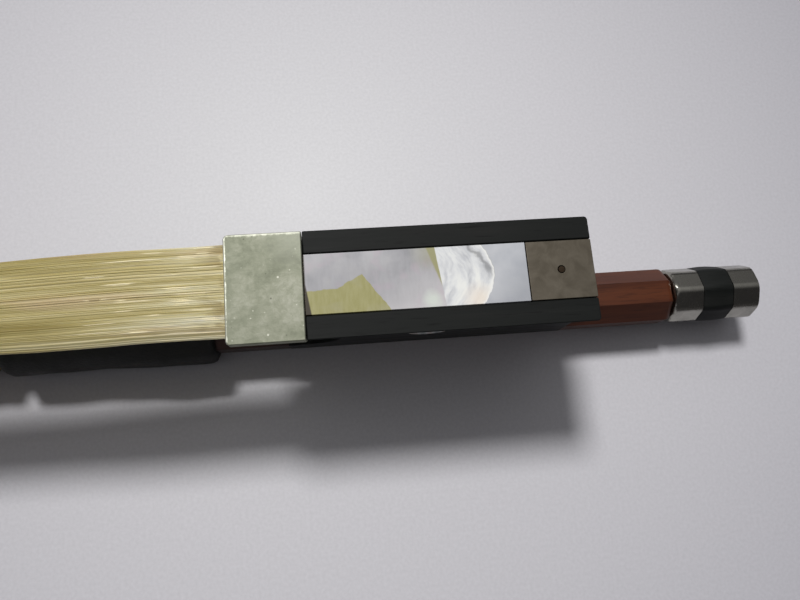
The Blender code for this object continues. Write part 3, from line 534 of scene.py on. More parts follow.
    # plain behind the edge, and darker toward the plate on the near side
    behind = add("Math", 1.0, beforeEdge, operation="SUBTRACT")
    plain = add("ValToRGB", soft, stops=[(0.35, "#b2b5bc"), (0.65, "#c2c4c9")])
    shadeward = add("MapRange", add("Math", x, y, operation="SUBTRACT"), 0.0235, 0.029, 0.0, 0.65)
    plain = add("MixRGB", shadeward, plain, "#92959c")
    colour = add("MixRGB", behind, colour, plain)

    # old brown glue along the ferrule, wider toward the near side
    seam = add("Math", y, 0.0, operation="MINIMUM")
    seam = add("Math", seam, -0.16, 0.00012, operation="MULTIPLY_ADD")
    glue = add("MapRange", add("Math", seam, x, operation="SUBTRACT"), -0.00005, 0.00008)
    colour = add("MixRGB", glue, colour, "#3a3226")
    waves = add("Math", bands, fold, operation="MULTIPLY")
    setInputs(
        shader, Base_Color=colour,
        Roughness=add("Math", fold, -0.06, 0.2, operation="MULTIPLY_ADD"),
        Normal=add("Bump", Height=waves, Distance=0.0001, Strength=0.15),
    )
    return finish


def makeEyePearl():
    # mother of pearl, cut as a disc and polished: pale with wandering bands 2 mm apart
    finish, add, shader = newFinish(
        "mother of pearl disc", Roughness=0.2, Coat_Weight=0.4, Coat_Roughness=0.06
    )
    place = pieceCoordinates(add)
    waves = add("TexWave", Vector=place, Scale=160.0, Distortion=6.0, Detail=3.0, out="Fac")
    colour = add(
        "ValToRGB", waves,
        stops=[(0.0, "#9fa7a6"), (0.4, "#c4c8c6"), (0.7, "#dcdcd6"), (1.0, "#c9bdb4")],
    )
    setInputs(shader, Base_Color=colour)
    return finish


def makeHorsehair():
    # bleached horsehair with rosin dust: golden cream in broad streaks, and no two hairs
    # of quite the same shade
    finish, add, shader = newFinish(
        "rosined horsehair",
        Roughness=0.5,
        Subsurface_Weight=0.3,
        Subsurface_Scale=0.0005,
        Subsurface_Radius=(1.0, 0.8, 0.5),
        Specular_IOR_Level=0.35,
    )
    shade = add("Attribute", out="Fac", attribute_name="hairToneAndGlint")
    broad = add(
        "TexNoise", Vector=pieceCoordinates(add, (0.035, 1, 1)), Scale=1 / 0.0013, Detail=3,
        Roughness=0.6,
    )
    fine = add(
        "TexNoise", Vector=pieceCoordinates(add, (0.05, 1, 1)), Scale=1 / 0.00035, Detail=2,
        Roughness=0.6,
    )
    own = add("Math", add("Math", shade, 1.0, operation="MINIMUM"), 0.12, operation="MULTIPLY")
    mixed = add("Math", broad, 0.95, own, operation="MULTIPLY_ADD")
    mixed = add("Math", fine, 0.2, mixed, operation="MULTIPLY_ADD")
    x = add("SeparateXYZ", Vector=pieceCoordinates(add), out="X")
    darker = add("MapRange", x, 0.25, 0.29, -0.31, 0.0)
    mixed = add("Math", mixed, darker, operation="ADD")
    colour = add(
        "ValToRGB", mixed,
        stops=[
            (0.3, "#948349"), (0.42, "#a6965a"), (0.55, "#bdad74"), (0.66, "#d2c594"),
            (0.78, "#e0d7b0"), (0.92, "#f0e9d0"),
        ],
    )
    rosy = add(
        "TexNoise", Vector=pieceCoordinates(add, (0.09, 1, 1), (0.7, 0.3, 0)), Scale=1 / 0.0022,
        Detail=2,
    )
    colour = add("MixRGB", add("MapRange", rosy, 0.56, 0.7, 0.0, 0.4), colour, "#d2b294")
    # painted shadow, brown, where the hank goes into the ferrule
    mouthShadow = add("TexNoise", Vector=pieceCoordinates(add, (0.5, 1, 1)), Scale=1 / 0.0016, Detail=2)
    mouthShadow = add("MapRange", mouthShadow, 0.5, 0.6, 0.0, 0.6)
    mouthShadow = add("Math", mouthShadow, add("MapRange", x, 0.2905, 0.2938), operation="MULTIPLY")
    colour = add("MixRGB", mouthShadow, colour, "#8f7a4c")
    # painted glints: a highlight painted into the colour of hairs whose tone is raised past 1
    glint = add("MapRange", shade, 1.05, 1.6, 0.0, 0.85)
    setInputs(shader, Base_Color=add("MixRGB", glint, colour, "#fff0c0"))
    return finish


def makeLeather():
    # goat leather, dyed black and rubbed by the thumb: pebbles 0.4 mm apart, a dull shine
    finish, add, shader = newFinish("black goat leather", Specular_IOR_Level=0.25)
    place = pieceCoordinates(add)
    cells = add("TexVoronoi", Vector=place, Scale=2600.0, out=None, feature="SMOOTH_F1")
    creases = add("TexNoise", Vector=place, Scale=1 / 0.0016, Detail=5, Roughness=0.65)
    colour = add("ValToRGB", creases, stops=[(0.3, "#0c0d0b"), (0.7, "#171814")])
    height = add("Math", creases, 1.4, cells.outputs["Distance"], operation="MULTIPLY_ADD")
    setInputs(
        shader, Base_Color=colour, Roughness=add("MapRange", creases, 0.3, 0.7, 0.45, 0.62),
        Normal=add("Bump", Height=height, Distance=0.00006, Strength=0.6),
    )
    return finish


def makeStrip(name, low, high):
    # plastic baleen strip, rolled flat: satin, with faint lengthwise lines
    finish, add, shader = newFinish(name, Roughness=0.32, Specular_IOR_Level=0.5)
    streaks = add(
        "TexNoise", Vector=pieceCoordinates(add, (1, 0.3, 0.3)), Scale=1 / 0.0004, Detail=4,
        Roughness=0.6,
    )
    setInputs(shader, Base_Color=add("ValToRGB", streaks, stops=[(0.3, low), (0.7, high)]))
    return finish


def makePale(name, low, high, size, roughness, metallic=0.0):
    # bone, plain wood, brass and steel, sawn or turned: one colour with soft streaks along it
    finish, add, shader = newFinish(name, Roughness=roughness, Metallic=metallic)
    place = pieceCoordinates(add, (0.08, 1, 1))
    streaks = add("TexNoise", Vector=place, Scale=1 / size, Detail=5, Roughness=0.6)
    setInputs(
        shader, Base_Color=add("ValToRGB", streaks, stops=[(0.3, low), (0.7, high)]),
        Normal=add("Bump", Height=streaks, Distance=0.00002, Strength=0.3),
    )
    return finish


varnishedWood = makeVarnishedWood()
ebony = makeEbony()
ferruleNickel = makeTarnishedNickel()
# painted shade: this nickel is given a darker colour than the button's, for the dark reflections
# the plate shows
plateNickel = makePlainNickel("nickel silver plate with painted shade", "#5e584e", "#676157", 0.66)
buttonNickel = makePlainNickel("polished nickel silver", "#8e8c85", "#a6a49c", 0.25)
pinMetal = makePlainNickel("blackened pin", "#30271f", "#40362c", 0.6)
pearl = makePearl()
eyePearl = makeEyePearl()
horsehair = makeHorsehair()
leather = makeLeather()
tanStrip = makeStrip("tan plastic baleen", "#7d6a45", "#a48f66")
darkStrip = makeStrip("dark plastic baleen", "#2a231c", "#40362b")
bone = makePale("polished bone", "#c3b9a2", "#d2c9b5", 0.0008, 0.45)
plainWood = makePale("bare willow", "#a98a5f", "#c8ab80", 0.0006, 0.6)
brass = makePale("turned brass", "#a98a45", "#c7a965", 0.0008, 0.34, 1.0)
steel = makePale("turned steel", "#8a8a8c", "#a8a8aa", 0.0008, 0.32, 1.0)
print("materials made")


# stick and head

stick = {
    "flats": 0.0081,
    "handle": 0.110,
    "octagon": 0.076,
    "fade": 0.012,
    "headRadius": 0.00265,
    "growth": 3.37,
    "camber": 0.013,
    "camberPower": 1.5,
    "chamfer": 0.0010,
    "nipple": 0.0022,
    "nippleLength": 0.0018,
    "toHeel": 0.0034,
    "slotFront": 0.0016,  # of the eyelet's slot, past the eyelet at rest
    "slotRear": 0.0058,
    "slotTop": 0.006,  # above the axis
    "sides": 64,
    "rows": 110,
    "rimRows": 5,
    "fadeRows": 6,
}
stickLength = bow["buttX"] - bow["headX"]


def stickShare(s):
    return min(max((s - stick["handle"]) / (stickLength - stick["handle"]), 0.0), 1.0)


def axisAt(s):
    q = stickShare(s)
    drop = (stick["headRadius"] - bow["axisHeight"]) * q
    return bow["axisHeight"] + drop + stick["camber"] * math.sin(math.pi * q) ** stick[
        "camberPower"
    ]


def offFlat(angle):
    # The angle from the middle of the nearest of eight flats.
    return (angle + math.pi / 8) % (math.pi / 4) - math.pi / 8


def stickRadius(s, angle):
    # Eight flats at the handle that fade to round under the leather.
    flat = stick["flats"] / 2
    share = math.log10(1 + stick["growth"] * (1 - stickShare(s))) / math.log10(1 + stick["growth"])
    roundRadius = stick["headRadius"] + (flat - stick["headRadius"]) * share
    octagon = 1 - eased((s - stick["octagon"]) / stick["fade"])
    return roundRadius * (1 + octagon * (1 / math.cos(offFlat(angle)) - 1))


def pointRound(s, radius, angle):
    # A place beside the stick, s from its butt.
    return (bow["buttX"] - s, radius * math.cos(angle), axisAt(s) + radius * math.sin(angle))


def stickRing(s, radiusOf):
    angles = [2 * math.pi * k / stick["sides"] for k in range(stick["sides"])]
    return [pointRound(s, radiusOf(angle), angle) for angle in angles]


head = {
    "face": 0.0228,
    "reach": 0.0245,
    "width": 0.0103,
    "lift": 0.0016,
    "liftStart": 0.011,
    "plate": 0.0012,
    "liner": 0.0005,
    "overhang": 0.0006,
    "mortise": (0.0036, 0.0110, 0.0056, 0.0080),  # start, end, width, depth
    "pastFace": 0.004,  # how far its cutter stands out of the face
    "rows": 46,
    "rowPower": 1.25,  # sets the rows closer near the stick
}
headRadius, face, reach, headWidth = stick["headRadius"], head["face"], head["reach"], head["width"]
heelLine = [
    (0.0, -3.0 * headRadius), (1.5 * headRadius, -2.95 * headRadius),
    (1.9 * headRadius, -2.35 * headRadius), (2.1 * headRadius, -1.3 * headRadius),
    (2.4 * headRadius, -0.55 * headRadius), (0.36 * face, 0.025 * reach),
    (0.53 * face, 0.057 * reach), (0.77 * face, 0.037 * reach), (0.935 * face, 0.0),
    (face, -head["overhang"]),
]
ridgeLine = [
    (0.0, -1.35 * headRadius), (0.013 * face, -0.025 * reach), (0.045 * face, 0.12 * reach),
    (0.14 * face, 0.33 * reach), (0.285 * face, 0.49 * reach), (0.46 * face, 0.633 * reach),
    (0.66 * face, 0.763 * reach), (0.88 * face, 0.902 * reach), (face, reach),
]
cheekLine = [
    (2.0 * headRadius, 1.02 * headRadius), (0.35 * face, 0.31 * headWidth),
    (0.61 * face, 0.408 * headWidth), (0.92 * face, 0.485 * headWidth), (face, headWidth / 2),
]
heelShareLine = [
    (1.5 * headRadius, 0.95), (2.0 * headRadius, 0.30), (2.4 * headRadius, 0.55),
    (0.4 * face, 0.90), (0.61 * face, 1.00),
]
sliceShape = [
    (0.00, 0.90), (0.05, 0.97), (0.14, 1.00), (0.24, 1.00), (0.38, 0.95), (0.56, 0.78),
    (0.74, 0.51), (0.90, 0.22), (1.00, 0.03),
]


def cheek(height):
    widest = headRadius + bow["gap"] / 2
    if height <= widest:
        return math.sqrt(max(widest**2 - (widest - height) ** 2, bow["gap"] ** 2))
    return max(between(cheekLine, height), widest)


def headSlice(height, steps=17):
    heel = between(heelLine, height)
    ridge = between(ridgeLine, height)
    half = cheek(height)
    heelShare = between(heelShareLine, height)
    liftShare = eased((height - face / 2) / (face / 2 - head["plate"] - head["liner"]))
    side = []
    for k in range(steps):
        along = k / (steps - 1)
        u = heel + along * (ridge - heel)
        lift = head["lift"] * (max(u - head["liftStart"], 0.0) / (reach - head["liftStart"])) ** 2
        narrow = 1 - (1 - heelShare) * max(1 - along / 0.4, 0.0)
        side.append(
            (
                bow["headX"] - u,
                half * between(sliceShape, along) * narrow,
                height + liftShare * lift,
            )
        )
    return side + [(x, -y, z) for x, y, z in reversed(side)]


def makeStick():
    rings = [
        stickRing(-stick["nippleLength"], lambda angle: stick["nipple"]),
        stickRing(0.0, lambda angle: stick["nipple"]),
    ]
    for k in range(stick["rimRows"] + 1):  # the butt's rounded rim
        turn = math.pi / 2 * k / stick["rimRows"]
        inset = stick["chamfer"] * (1 - math.sin(turn))
        s = stick["chamfer"] * (1 - math.cos(turn))
        rings.append(stickRing(s, lambda angle: stickRadius(0.0, angle) - inset))
    fadeEnd = stick["octagon"] + stick["fade"]
    steps = stick["fadeRows"]
    places = [stick["octagon"] + stick["fade"] * k / steps for k in range(steps + 1)]
    last = stickLength - stick["toHeel"]
    places += [fadeEnd + (last - fadeEnd) * k / stick["rows"] for k in range(1, stick["rows"] + 1)]
    for s in places:
        rings.append(stickRing(s, lambda angle: stickRadius(s, angle)))
    shaft = skinRings("stick", rings)
    top = face - head["plate"] - head["liner"] - 2 * bow["gap"]
    rows = head["rows"]
    heights = [top * (k / rows) ** head["rowPower"] for k in range(rows + 1)]
    combine(shaft, skinRings("headBlock", [headSlice(height) for height in heights]), "UNION")
    cutHeadMortise(shaft)
    # the slot that the eyelet runs in, open toward the frog
    low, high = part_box("eyelet")
    aside = (stick["slotFront"], bow["gap"], bow["gap"])
    top = (high.x + stick["slotRear"], high.y + bow["gap"], bow["axisHeight"] + stick["slotTop"])
    cutBox(shaft, low - Vector(aside), top)
    return shaft


def cutHeadMortise(piece):
    start, end, width, depth = head["mortise"]
    low = (bow["headX"] - end, -width / 2, face - depth)
    cutBox(piece, low, (bow["headX"] - start, width / 2, face + head["pastFace"]))


def cutBox(piece, low, high):
    size = Vector(high) - Vector(low)
    bpy.ops.object.select_all(action="DESELECT")
    bpy.ops.mesh.primitive_cube_add(size=1, location=(Vector(low) + Vector(high)) / 2, scale=size)
    combine(piece, bpy.context.object, "DIFFERENCE")


def smoothHeadJoint(piece):
    # The head grows out of the shaft without a crease.
    vertices = piece.data.vertices
    for edge in piece.data.edges:
        middle = (vertices[edge.vertices[0]].co + vertices[edge.vertices[1]].co) / 2
        if middle.x < bow["headX"] + 3 * headRadius and middle.z < 4 * headRadius:
            edge.use_edge_sharp = False


stickPiece = makeStick()
shadeRound(stickPiece, 32)
smoothHeadJoint(stickPiece)
finishPiece(stickPiece, "stick", varnishedWood, "pernambuco", "stick")
print("stick made")


def plateOf(name, low, high, finish, slotName, node):
    rings = [headSlice(low), headSlice((low + high) / 2), headSlice(high)]
    piece = skinRings(name, rings)
    cutHeadMortise(piece)
    shadeRound(piece, 40)
    return finishPiece(piece, "stick", finish, slotName, node)


linerTop = face - head["plate"] - bow["gap"]
plateOf("headPlate", face - head["plate"], face, bone, "bone", "head_plate")
plateOf("headLiner", linerTop - head["liner"], linerTop, ebony, "ebony", "head_liner")
print("head trimmed")


# thumb leather and winding

wrap = {
    "leatherStart": 0.0695,  # from the stick's butt
    "leatherLength": 0.0300,
    "leatherWall": 0.00137,  # waves and the seam come on top of it
    "edge": 0.0014,
    "waves": ((0.00007, 9, 2, 1), (0.00005, 23, 3, 2)),  # height, along, wander, around
    "lap": (0.00022, -2.4, 0.16),  # the seam's height, angle and half width
    "windingLength": 0.072,
    "windingGap": 0.0006,
    "loops": 24,
    "stripWidth": 0.0019,
    "layer": 0.0005,
    "strip": 0.0005,
    "seam": 0.00008,  # between a light and a dark turn
    "sink": 0.00012,  # of the dark turns below the light ones
}


def makeLeatherSleeve():
    start, length = wrap["leatherStart"], wrap["leatherLength"]
    random.seed(5)
    phases = [random.uniform(0, 6.28) for _ in range(4)]

    def wall(share, angle):
        thick = wrap["leatherWall"]
        for k, (height, along, wander, around) in enumerate(wrap["waves"]):
            swing = wander * math.sin(around * angle + phases[2 * k + 1])
            thick += height * math.sin(along * share + phases[2 * k] + swing)
        height, place, width = wrap["lap"]
        off = angle - place + 0.12 * math.sin(6 * share)
        thick += height * math.exp(-((off / width) ** 2))
        nearEnd = min(share, 1 - share) * length / wrap["edge"]
        roll = math.sqrt(max(1 - max(1 - nearEnd, 0.0) ** 2, 0.0))
        return thick * (0.2 + 0.8 * roll)

    rings = []
    rows, columns = 60, 72
    shares = [0.0] + [k / rows for k in range(rows + 1)] + [1.0]
    for k, share in enumerate(shares):
        bare = k in (0, len(shares) - 1)  # both ends close on the wood
        s = start + share * length
        ring = []
        for j in range(columns):
            angle = 2 * math.pi * j / columns
            turn = angle if angle <= math.pi else angle - 2 * math.pi
            radius = stickRadius(s, angle) + (0.0 if bare else bow["gap"] + wall(share, turn))
            ring.append(pointRound(s, radius, angle))
        rings.append(ring)
    return skinRings("thumbLeather", rings)


leatherPiece = makeLeatherSleeve()
shadeRound(leatherPiece, 60)
finishPiece(leatherPiece, "stick", leather, "leather", "thumb_leather")


pitch = (wrap["windingLength"] - wrap["stripWidth"]) / wrap["loops"]


def makeWindingStrip(name, phase, width, low, high):
    # One strip wound round the stick, from low to high above the wood, with eased edges.
    start = wrap["leatherStart"] + wrap["leatherLength"] + wrap["windingGap"]
    steps = 40
    edge = high * 0.9 + low * 0.1
    section = [(-1.0, low), (-1.0, edge), (-0.86, high), (0.86, high), (1.0, edge), (1.0, low)]
    rings = []
    for k in range(wrap["loops"] * steps + 1):
        angle = 2 * math.pi * k / steps
        middle = start + wrap["stripWidth"] / 2 + phase * pitch + pitch * k / steps
        middle = min(middle, start + wrap["windingLength"] - width / 2)
        ring = []
        for side, wall in section:
            s = middle + side * width / 2
            radius = stickRadius(s, angle) + wall
            ring.append(pointRound(s, radius, angle))
        rings.append(ring)
    return skinRings(name, rings)


top = 2 * bow["gap"] + wrap["layer"] + wrap["strip"]
lightTurns = makeWindingStrip("windingTanStrip", 0.0, wrap["stripWidth"], bow["gap"], top)
shadeRound(lightTurns, 40)
finishPiece(lightTurns, "stick", tanStrip, "tan_strip", "winding_light_strip")
darkWidth = pitch - wrap["stripWidth"] - wrap["seam"]
darkTop = top - wrap["sink"]
darkTurns = makeWindingStrip("windingDarkStrip", 0.5, darkWidth, bow["gap"], darkTop)
shadeRound(darkTurns, 40)
finishPiece(darkTurns, "stick", darkStrip, "dark_strip", "winding_dark_layer")
print("grip made")


# frog and its metal

frog = {
    "corner": 0.0007,  # radius of the ferrule's front corners, seen from above
    "cuts": (0.98, 0.9, 0.78, 0.62, 0.42, 0.2),  # across that corner
    "frontDepth": 0.0002,  # what lies this close to the ferrule's front edge is shaped with it
    "wear": ((0.00005, 900, 0), (0.00004, 2100, 1)),  # of that edge: height, waves, phase
    "ferruleEdge": 0.00015,
    "ferrule": 0.00944,  # its length and the gap behind it
    "throatDepth": 0.0116,  # of its middle, below the flat face
    "throat": 0.00383,
    "throatCutter": 0.03,  # wider than the block
    "blockEdge": 0.00014,
    "slideEdge": 0.00005,
    "slidePush": 0.00008,  # of the slide's end, toward the plate
    "plateEdge": 0.00008,
    "eyeEdge": 0.00012,
    "liningEdge": 0.00006,
}


def makeFerrule():
    # The CAD tube with its front corners rounded off and its rim a little worn.
    piece = copyOfNode("ferrule", "ferruleShell")
    half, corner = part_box("ferrule")[1].y, frog["corner"]
    for side in (-1, 1):
        for share in frog["cuts"]:
            cutAcross(piece, (0, side * (half - corner * (1 - share)), 0), (0, 1, 0))
    for vertex in piece.data.vertices:
        x, y = vertex.co.x, vertex.co.y
        if x < bow["ferruleX"] + frog["frontDepth"]:
            past = min(max((abs(y) - half + corner) / corner, 0.0), 1.0)
            wear = sum(rise * math.sin(wave * y + phase) for rise, wave, phase in frog["wear"])
            vertex.co.x += corner * (1 - math.sqrt(1 - past**2)) + wear
    softenEdges(piece, frog["ferruleEdge"], 3, 40)
    evenNormals(piece)
    return piece


def makeFrogBlock():
    # The CAD block with its throat turned round and its edges eased.
    piece = copyOfNode("frog_block", "frogBlock")
    bpy.ops.object.select_all(action="DESELECT")
    bpy.ops.mesh.primitive_cylinder_add(
        vertices=96,
        radius=frog["throat"],
        depth=frog["throatCutter"],
        location=(bow["ferruleX"] + frog["ferrule"], 0, bow["flatHeight"] - frog["throatDepth"]),
        rotation=(math.pi / 2, 0, 0),
    )
    combine(piece, bpy.context.object, "DIFFERENCE")
    softenEdges(piece, frog["blockEdge"], 2, 32)
    evenNormals(piece)
    return piece


frogBlock = makeFrogBlock()
finishPiece(frogBlock, "frog", ebony, "ebony", "frog_block")
ferrule = makeFerrule()
finishPiece(ferrule, "frog", ferruleNickel, "nickel", "ferrule")
slide = copyOfNode("pearl_slide", "pearlSlide", frog["slideEdge"])
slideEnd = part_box("pearl_slide")[1].x
for vertex in slide.data.vertices:  # pushed home against the plate
    if vertex.co.x > slideEnd - bow["gap"]:
        vertex.co.x += frog["slidePush"]
finishPiece(slide, "frog", pearl, "pearl", "pearl_slide")
heelPlate = copyOfNode("heel_plate", "heelPlate", frog["plateEdge"])
finishPiece(heelPlate, "frog", plateNickel, "nickel", "heel_plate")
for side in ("left", "right"):
    eye = copyOfNode(f"pearl_eye_{side}", f"pearlEye{side.title()}", frog["eyeEdge"], 3)
    finishPiece(eye, "frog", eyePearl, "pearl", f"pearl_eye_{side}")
underslide = copyOfNode("underslide", "undersideLining", frog["liningEdge"])
finishPiece(underslide, "frog", plateNickel, "nickel", "underslide")


# button

button = {
    "flats": 0.0080,
    "turn": math.radians(22.5),
    "wall": 0.0008,
    "ring": 0.0046,
    "core": 0.0048,
    "cap": 0.0043,
    "swell": 0.00015,
    "frontRound": 0.0010,
    "backRound": 0.0003,
    "rim": 0.00012,
    "corner": 0.00012,  # how far its long corners are worn down
    "screwBore": 0.00155,
    "nippleBore": 0.0002,  # past the nipple's end
    "sides": 96,
    "rows": 8,
    "roundSteps": 6,
}


def buttonRings(start, end, frontRound, backRound, swell=0.0):
    # Eight-sided rings along the button, rounded off like a turned piece at both ends.
    rings = []
    corner = button["flats"] / 2 / math.cos(math.pi / 8)
    steps, rows = button["roundSteps"], button["rows"]
    flatFrom, flatTo = start + frontRound, end - backRound
    turns = [math.pi / 2 * k / steps for k in range(steps + 1)]
    dips = [(1 - math.cos(turn), 1 - math.sin(turn)) for turn in turns]
    places = [(start + frontRound * a, corner - frontRound * b) for a, b in dips]
    places += [(flatFrom + (flatTo - flatFrom) * k / rows, corner) for k in range(1, rows)]
    places += [(end - backRound * b, corner - backRound * a) for a, b in dips]
    for x, limit in places:
        share = min(max((x - start) / (end - start), 0.0), 1.0)
        ring = []
        for k in range(button["sides"]):
            angle = 2 * math.pi * k / button["sides"]
            offNormal = offFlat(angle)
            flat = button["flats"] / 2 + swell * math.sin(math.pi * share)
            worn = button["corner"] * max(abs(offNormal) / (math.pi / 8) - 0.86, 0.0) / 0.14
            reach = min(flat / math.cos(offNormal) - worn, limit + swell)
            turned = angle - button["turn"]
            ring.append((x, reach * math.cos(turned), bow["axisHeight"] + reach * math.sin(turned)))
        rings.append(ring)
    return rings


def makeButton():
    gap, rim, past = bow["gap"], button["rim"], 0.001  # past: how far a cutter stands out
    start = bow["buttX"] + gap
    ringEnd = start + button["ring"]
    coreEnd = ringEnd + button["core"]
    capEnd = coreEnd + button["cap"]
    spigot = button["flats"] / 2 - button["wall"]
    ringShape = buttonRings(start, ringEnd, button["frontRound"], rim)
    ring = skinRings("buttonFrontRing", ringShape)
    cutBore(ring, start - past, ringEnd + past, spigot + gap)
    core = skinRings("buttonCore", buttonRings(ringEnd + gap, coreEnd, rim, rim, button["swell"]))
    rod = rodAlong(start + 2 * gap, capEnd - button["wall"] - 2 * gap, spigot)
    combine(core, rod, "UNION")
    nippleEnd = start + stick["nippleLength"] + button["nippleBore"]
    cutBore(core, start - past, nippleEnd, stick["nipple"] + gap)
    cutBore(core, start - past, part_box("screw")[1].x + gap, button["screwBore"])
    cap = skinRings("buttonEndCap", buttonRings(coreEnd + gap, capEnd, rim, button["backRound"]))
    cutBore(cap, coreEnd - past, capEnd - button["wall"] - gap, spigot + gap)
    for piece, finish, slotName, nodeName in (
        (ring, buttonNickel, "nickel", "button_ring"),
        (core, ebony, "ebony", "button_core"),
        (cap, buttonNickel, "nickel", "button_cap"),
    ):
        evenNormals(piece, 24)
        finishPiece(piece, "screw", finish, slotName, nodeName)


def rodAlong(start, end, radius):
    bpy.ops.object.select_all(action="DESELECT")
    bpy.ops.mesh.primitive_cylinder_add(
        vertices=48,
        radius=radius,
        depth=end - start,
        location=((start + end) / 2, 0, bow["axisHeight"]),
        rotation=(0, math.pi / 2, 0),
    )
    return bpy.context.object


def cutBore(piece, start, end, radius):
    combine(piece, rodAlong(start, end, radius), "DIFFERENCE")


makeButton()
print("frog and button made")


# hair

hank = {
    "layers": 4,
    "perLayer": 62,
    "radius": 0.00012,
    # along the hank: x, z, half width, half thickness, sideways drift
    "stations": [
        (-0.3568, 0.0160, 0.0020, 0.00100, 0),
        (-0.3542, 0.0158, 0.0022, 0.00060, 0),
        (-0.3527, 0.0166, 0.0024, 0.00035, 0),
        (-0.35215, 0.0186, 0.0025, 0.00028, 0),
        (-0.35210, 0.0214, 0.0025, 0.00026, 0),
        (-0.35185, 0.0226, 0.0026, 0.00026, 0),
        (-0.35120, 0.02318, 0.0029, 0.00024, 0),
        (-0.3498, 0.02322, 0.0037, 0.00024, 0),
        (-0.3474, 0.02325, 0.0042, 0.00026, 0),
        (-0.3000, None, 0.0043, 0.00028, 0),
        (-0.1500, None, 0.0045, 0.00028, 0),
        (0.0000, None, 0.0046, 0.00028, 0),
        (0.1000, None, 0.0047, 0.00028, -0.0001),
        (0.1800, None, 0.0048, 0.00028, -0.0002),
        (0.2200, None, 0.0049, 0.00028, -0.0003),
        (0.2400, None, 0.0049, 0.00028, -0.0004),
        (0.2520, None, 0.0049, 0.00028, -0.00042),
        (0.2620, None, 0.00502, 0.00028, -0.00039),
        (0.2680, None, 0.00532, 0.00028, -0.00033),
        (0.2730, None, 0.00548, 0.00028, -0.00024),
        (0.2775, None, 0.00554, 0.00028, -0.00013),
        (0.2810, None, 0.00555, 0.00028, -0.00006),
        (0.2838, None, 0.00553, 0.00028, 0),
        (0.2862, None, 0.00552, 0.00028, 0),
        (0.2884, None, 0.00552, 0.00028, 0),
        (0.2904, None, 0.00553, 0.00027, 0),
        (0.2922, None, 0.00556, 0.00026, 0),
        (0.2942, 0.02670, 0.00560, 0.00025, 0),
        (0.2990, 0.02668, 0.0052, 0.00026, 0),
        (0.3036, 0.02622, 0.0036, 0.00028, 0),
        (0.3066, 0.02590, 0.0032, 0.00028, 0),
        (0.3082, 0.02535, 0.0030, 0.00028, 0),
        (0.30872, 0.0240, 0.0030, 0.00028, 0),
        (0.30880, 0.0218, 0.0030, 0.00035, 0),
        (0.3095, 0.0205, 0.0029, 0.00060, 0),
        (0.3125, 0.0204, 0.0026, 0.00080, 0),
    ],
    "free": ((-0.3474, 0.02325), (0.2942, 0.02670)),  # x and z of the ends of its free length
    "fine": (0.262, 0.294),  # here every stretch is halved, so that a glint can begin and end on it
    "jitter": 0.4,  # of a hair's place in its row
    "strays": (0.16, 0.05, 0.010),  # their share, how far they wander, and how far the others do
    "sway": (0.007, 40),  # sideways: spread and waves
    "bob": (0.08, 60),
    "round": 0.3,  # how much thinner the hank is at its sides
    "proud": 0.1,  # how far a hair stands out where it glints
    # glints are highlights painted into the hairs' colour
    "glints": 0.55,  # share of the top layer's hairs
    "glintShade": 1.8,
    "glintWidth": 0.15,
    "glintSpan": (0.2780, 0.2930),
    "glintReach": (0.0008, 0.0024),
    "bed": (0.985, -0.8, 1.03, 1.12),  # half width, bottom, top, and its rise in the middle
}


def hankHeight(x):
    start, end = hank["free"]
    return start[1] + (end[1] - start[1]) * (x - start[0]) / (end[0] - start[0])


def hankLine():
    # Rows of x, z, half width, half thickness and drift, and the way that is up at each.
    line = []
    fineFrom, fineTo = hank["fine"]
    for start, end in zip(hank["stations"], hank["stations"][1:]):
        cuts = 2 if fineFrom < start[0] < fineTo else 1
        for cut in range(cuts):
            share = cut / cuts
            x, wide, thick, drift = (start[k] + share * (end[k] - start[k]) for k in (0, 2, 3, 4))
            z = hankHeight(x) if start[1] is None else start[1]
            line.append((x, z, wide, thick, drift))
    line.append(hank["stations"][-1])
    ways = []
    for k in range(len(line)):
        before, after = line[max(k - 1, 0)], line[min(k + 1, len(line) - 1)]
        way = Vector((after[0] - before[0], after[1] - before[1])).normalized()
        ways.append(Vector((-way.y, way.x)))
    return line, ways


def hankPaths(line, ways):
    # Each hair's points and its tone at each, with a painted glint added on some, from the knot in
    # the head to the knot in the frog.
    random.seed(11)
    paths = []
    jitter, (strays, far, near) = hank["jitter"], hank["strays"]
    (swaySpread, swayWaves), (bobSpread, bobWaves) = hank["sway"], hank["bob"]
    for layer in range(hank["layers"]):
        for k in range(hank["perLayer"]):
            place = k + 0.5 * (layer % 2) + random.uniform(-jitter, jitter)
            rest = -1 + 2 * place / (hank["perLayer"] - 0.5)
            stray = random.gauss(0, far if random.random() < strays else near)
            height = -1 + 2 * layer / (hank["layers"] - 1)
            phase = random.uniform(0, 6.28)
            sway, bob = random.gauss(0, swaySpread), random.gauss(0, bobSpread)
            shade = random.random()
            glint = random.uniform(*hank["glintSpan"])
            if layer < hank["layers"] - 1 or random.random() > hank["glints"]:
                glint = None
            reach = random.uniform(*hank["glintReach"])
            points, shades = [], []
            for i, (x, z, wide, thick, drift) in enumerate(line):
                share = (x - line[0][0]) / (line[-1][0] - line[0][0])
                u = rest + stray * math.sin(math.pi * share * 1.5 + phase)
                u = max(-1.0, min(1.0, u + sway * math.sin(swayWaves * x + phase)))
                lit = 0.0 if glint is None else math.exp(-(((x - glint) / reach) ** 2))
                v = height + bob * math.sin(bobWaves * x + phase * 2) + hank["proud"] * lit
                off = ways[i] * (v * thick * (1 - hank["round"] * u * u))
                points.append((x + off.x, u * wide + drift, z + off.y))
                # the painted glint rides on the hair's tone
                shades.append(shade + hank["glintShade"] * lit)
            paths.append((points, shades))
    return paths


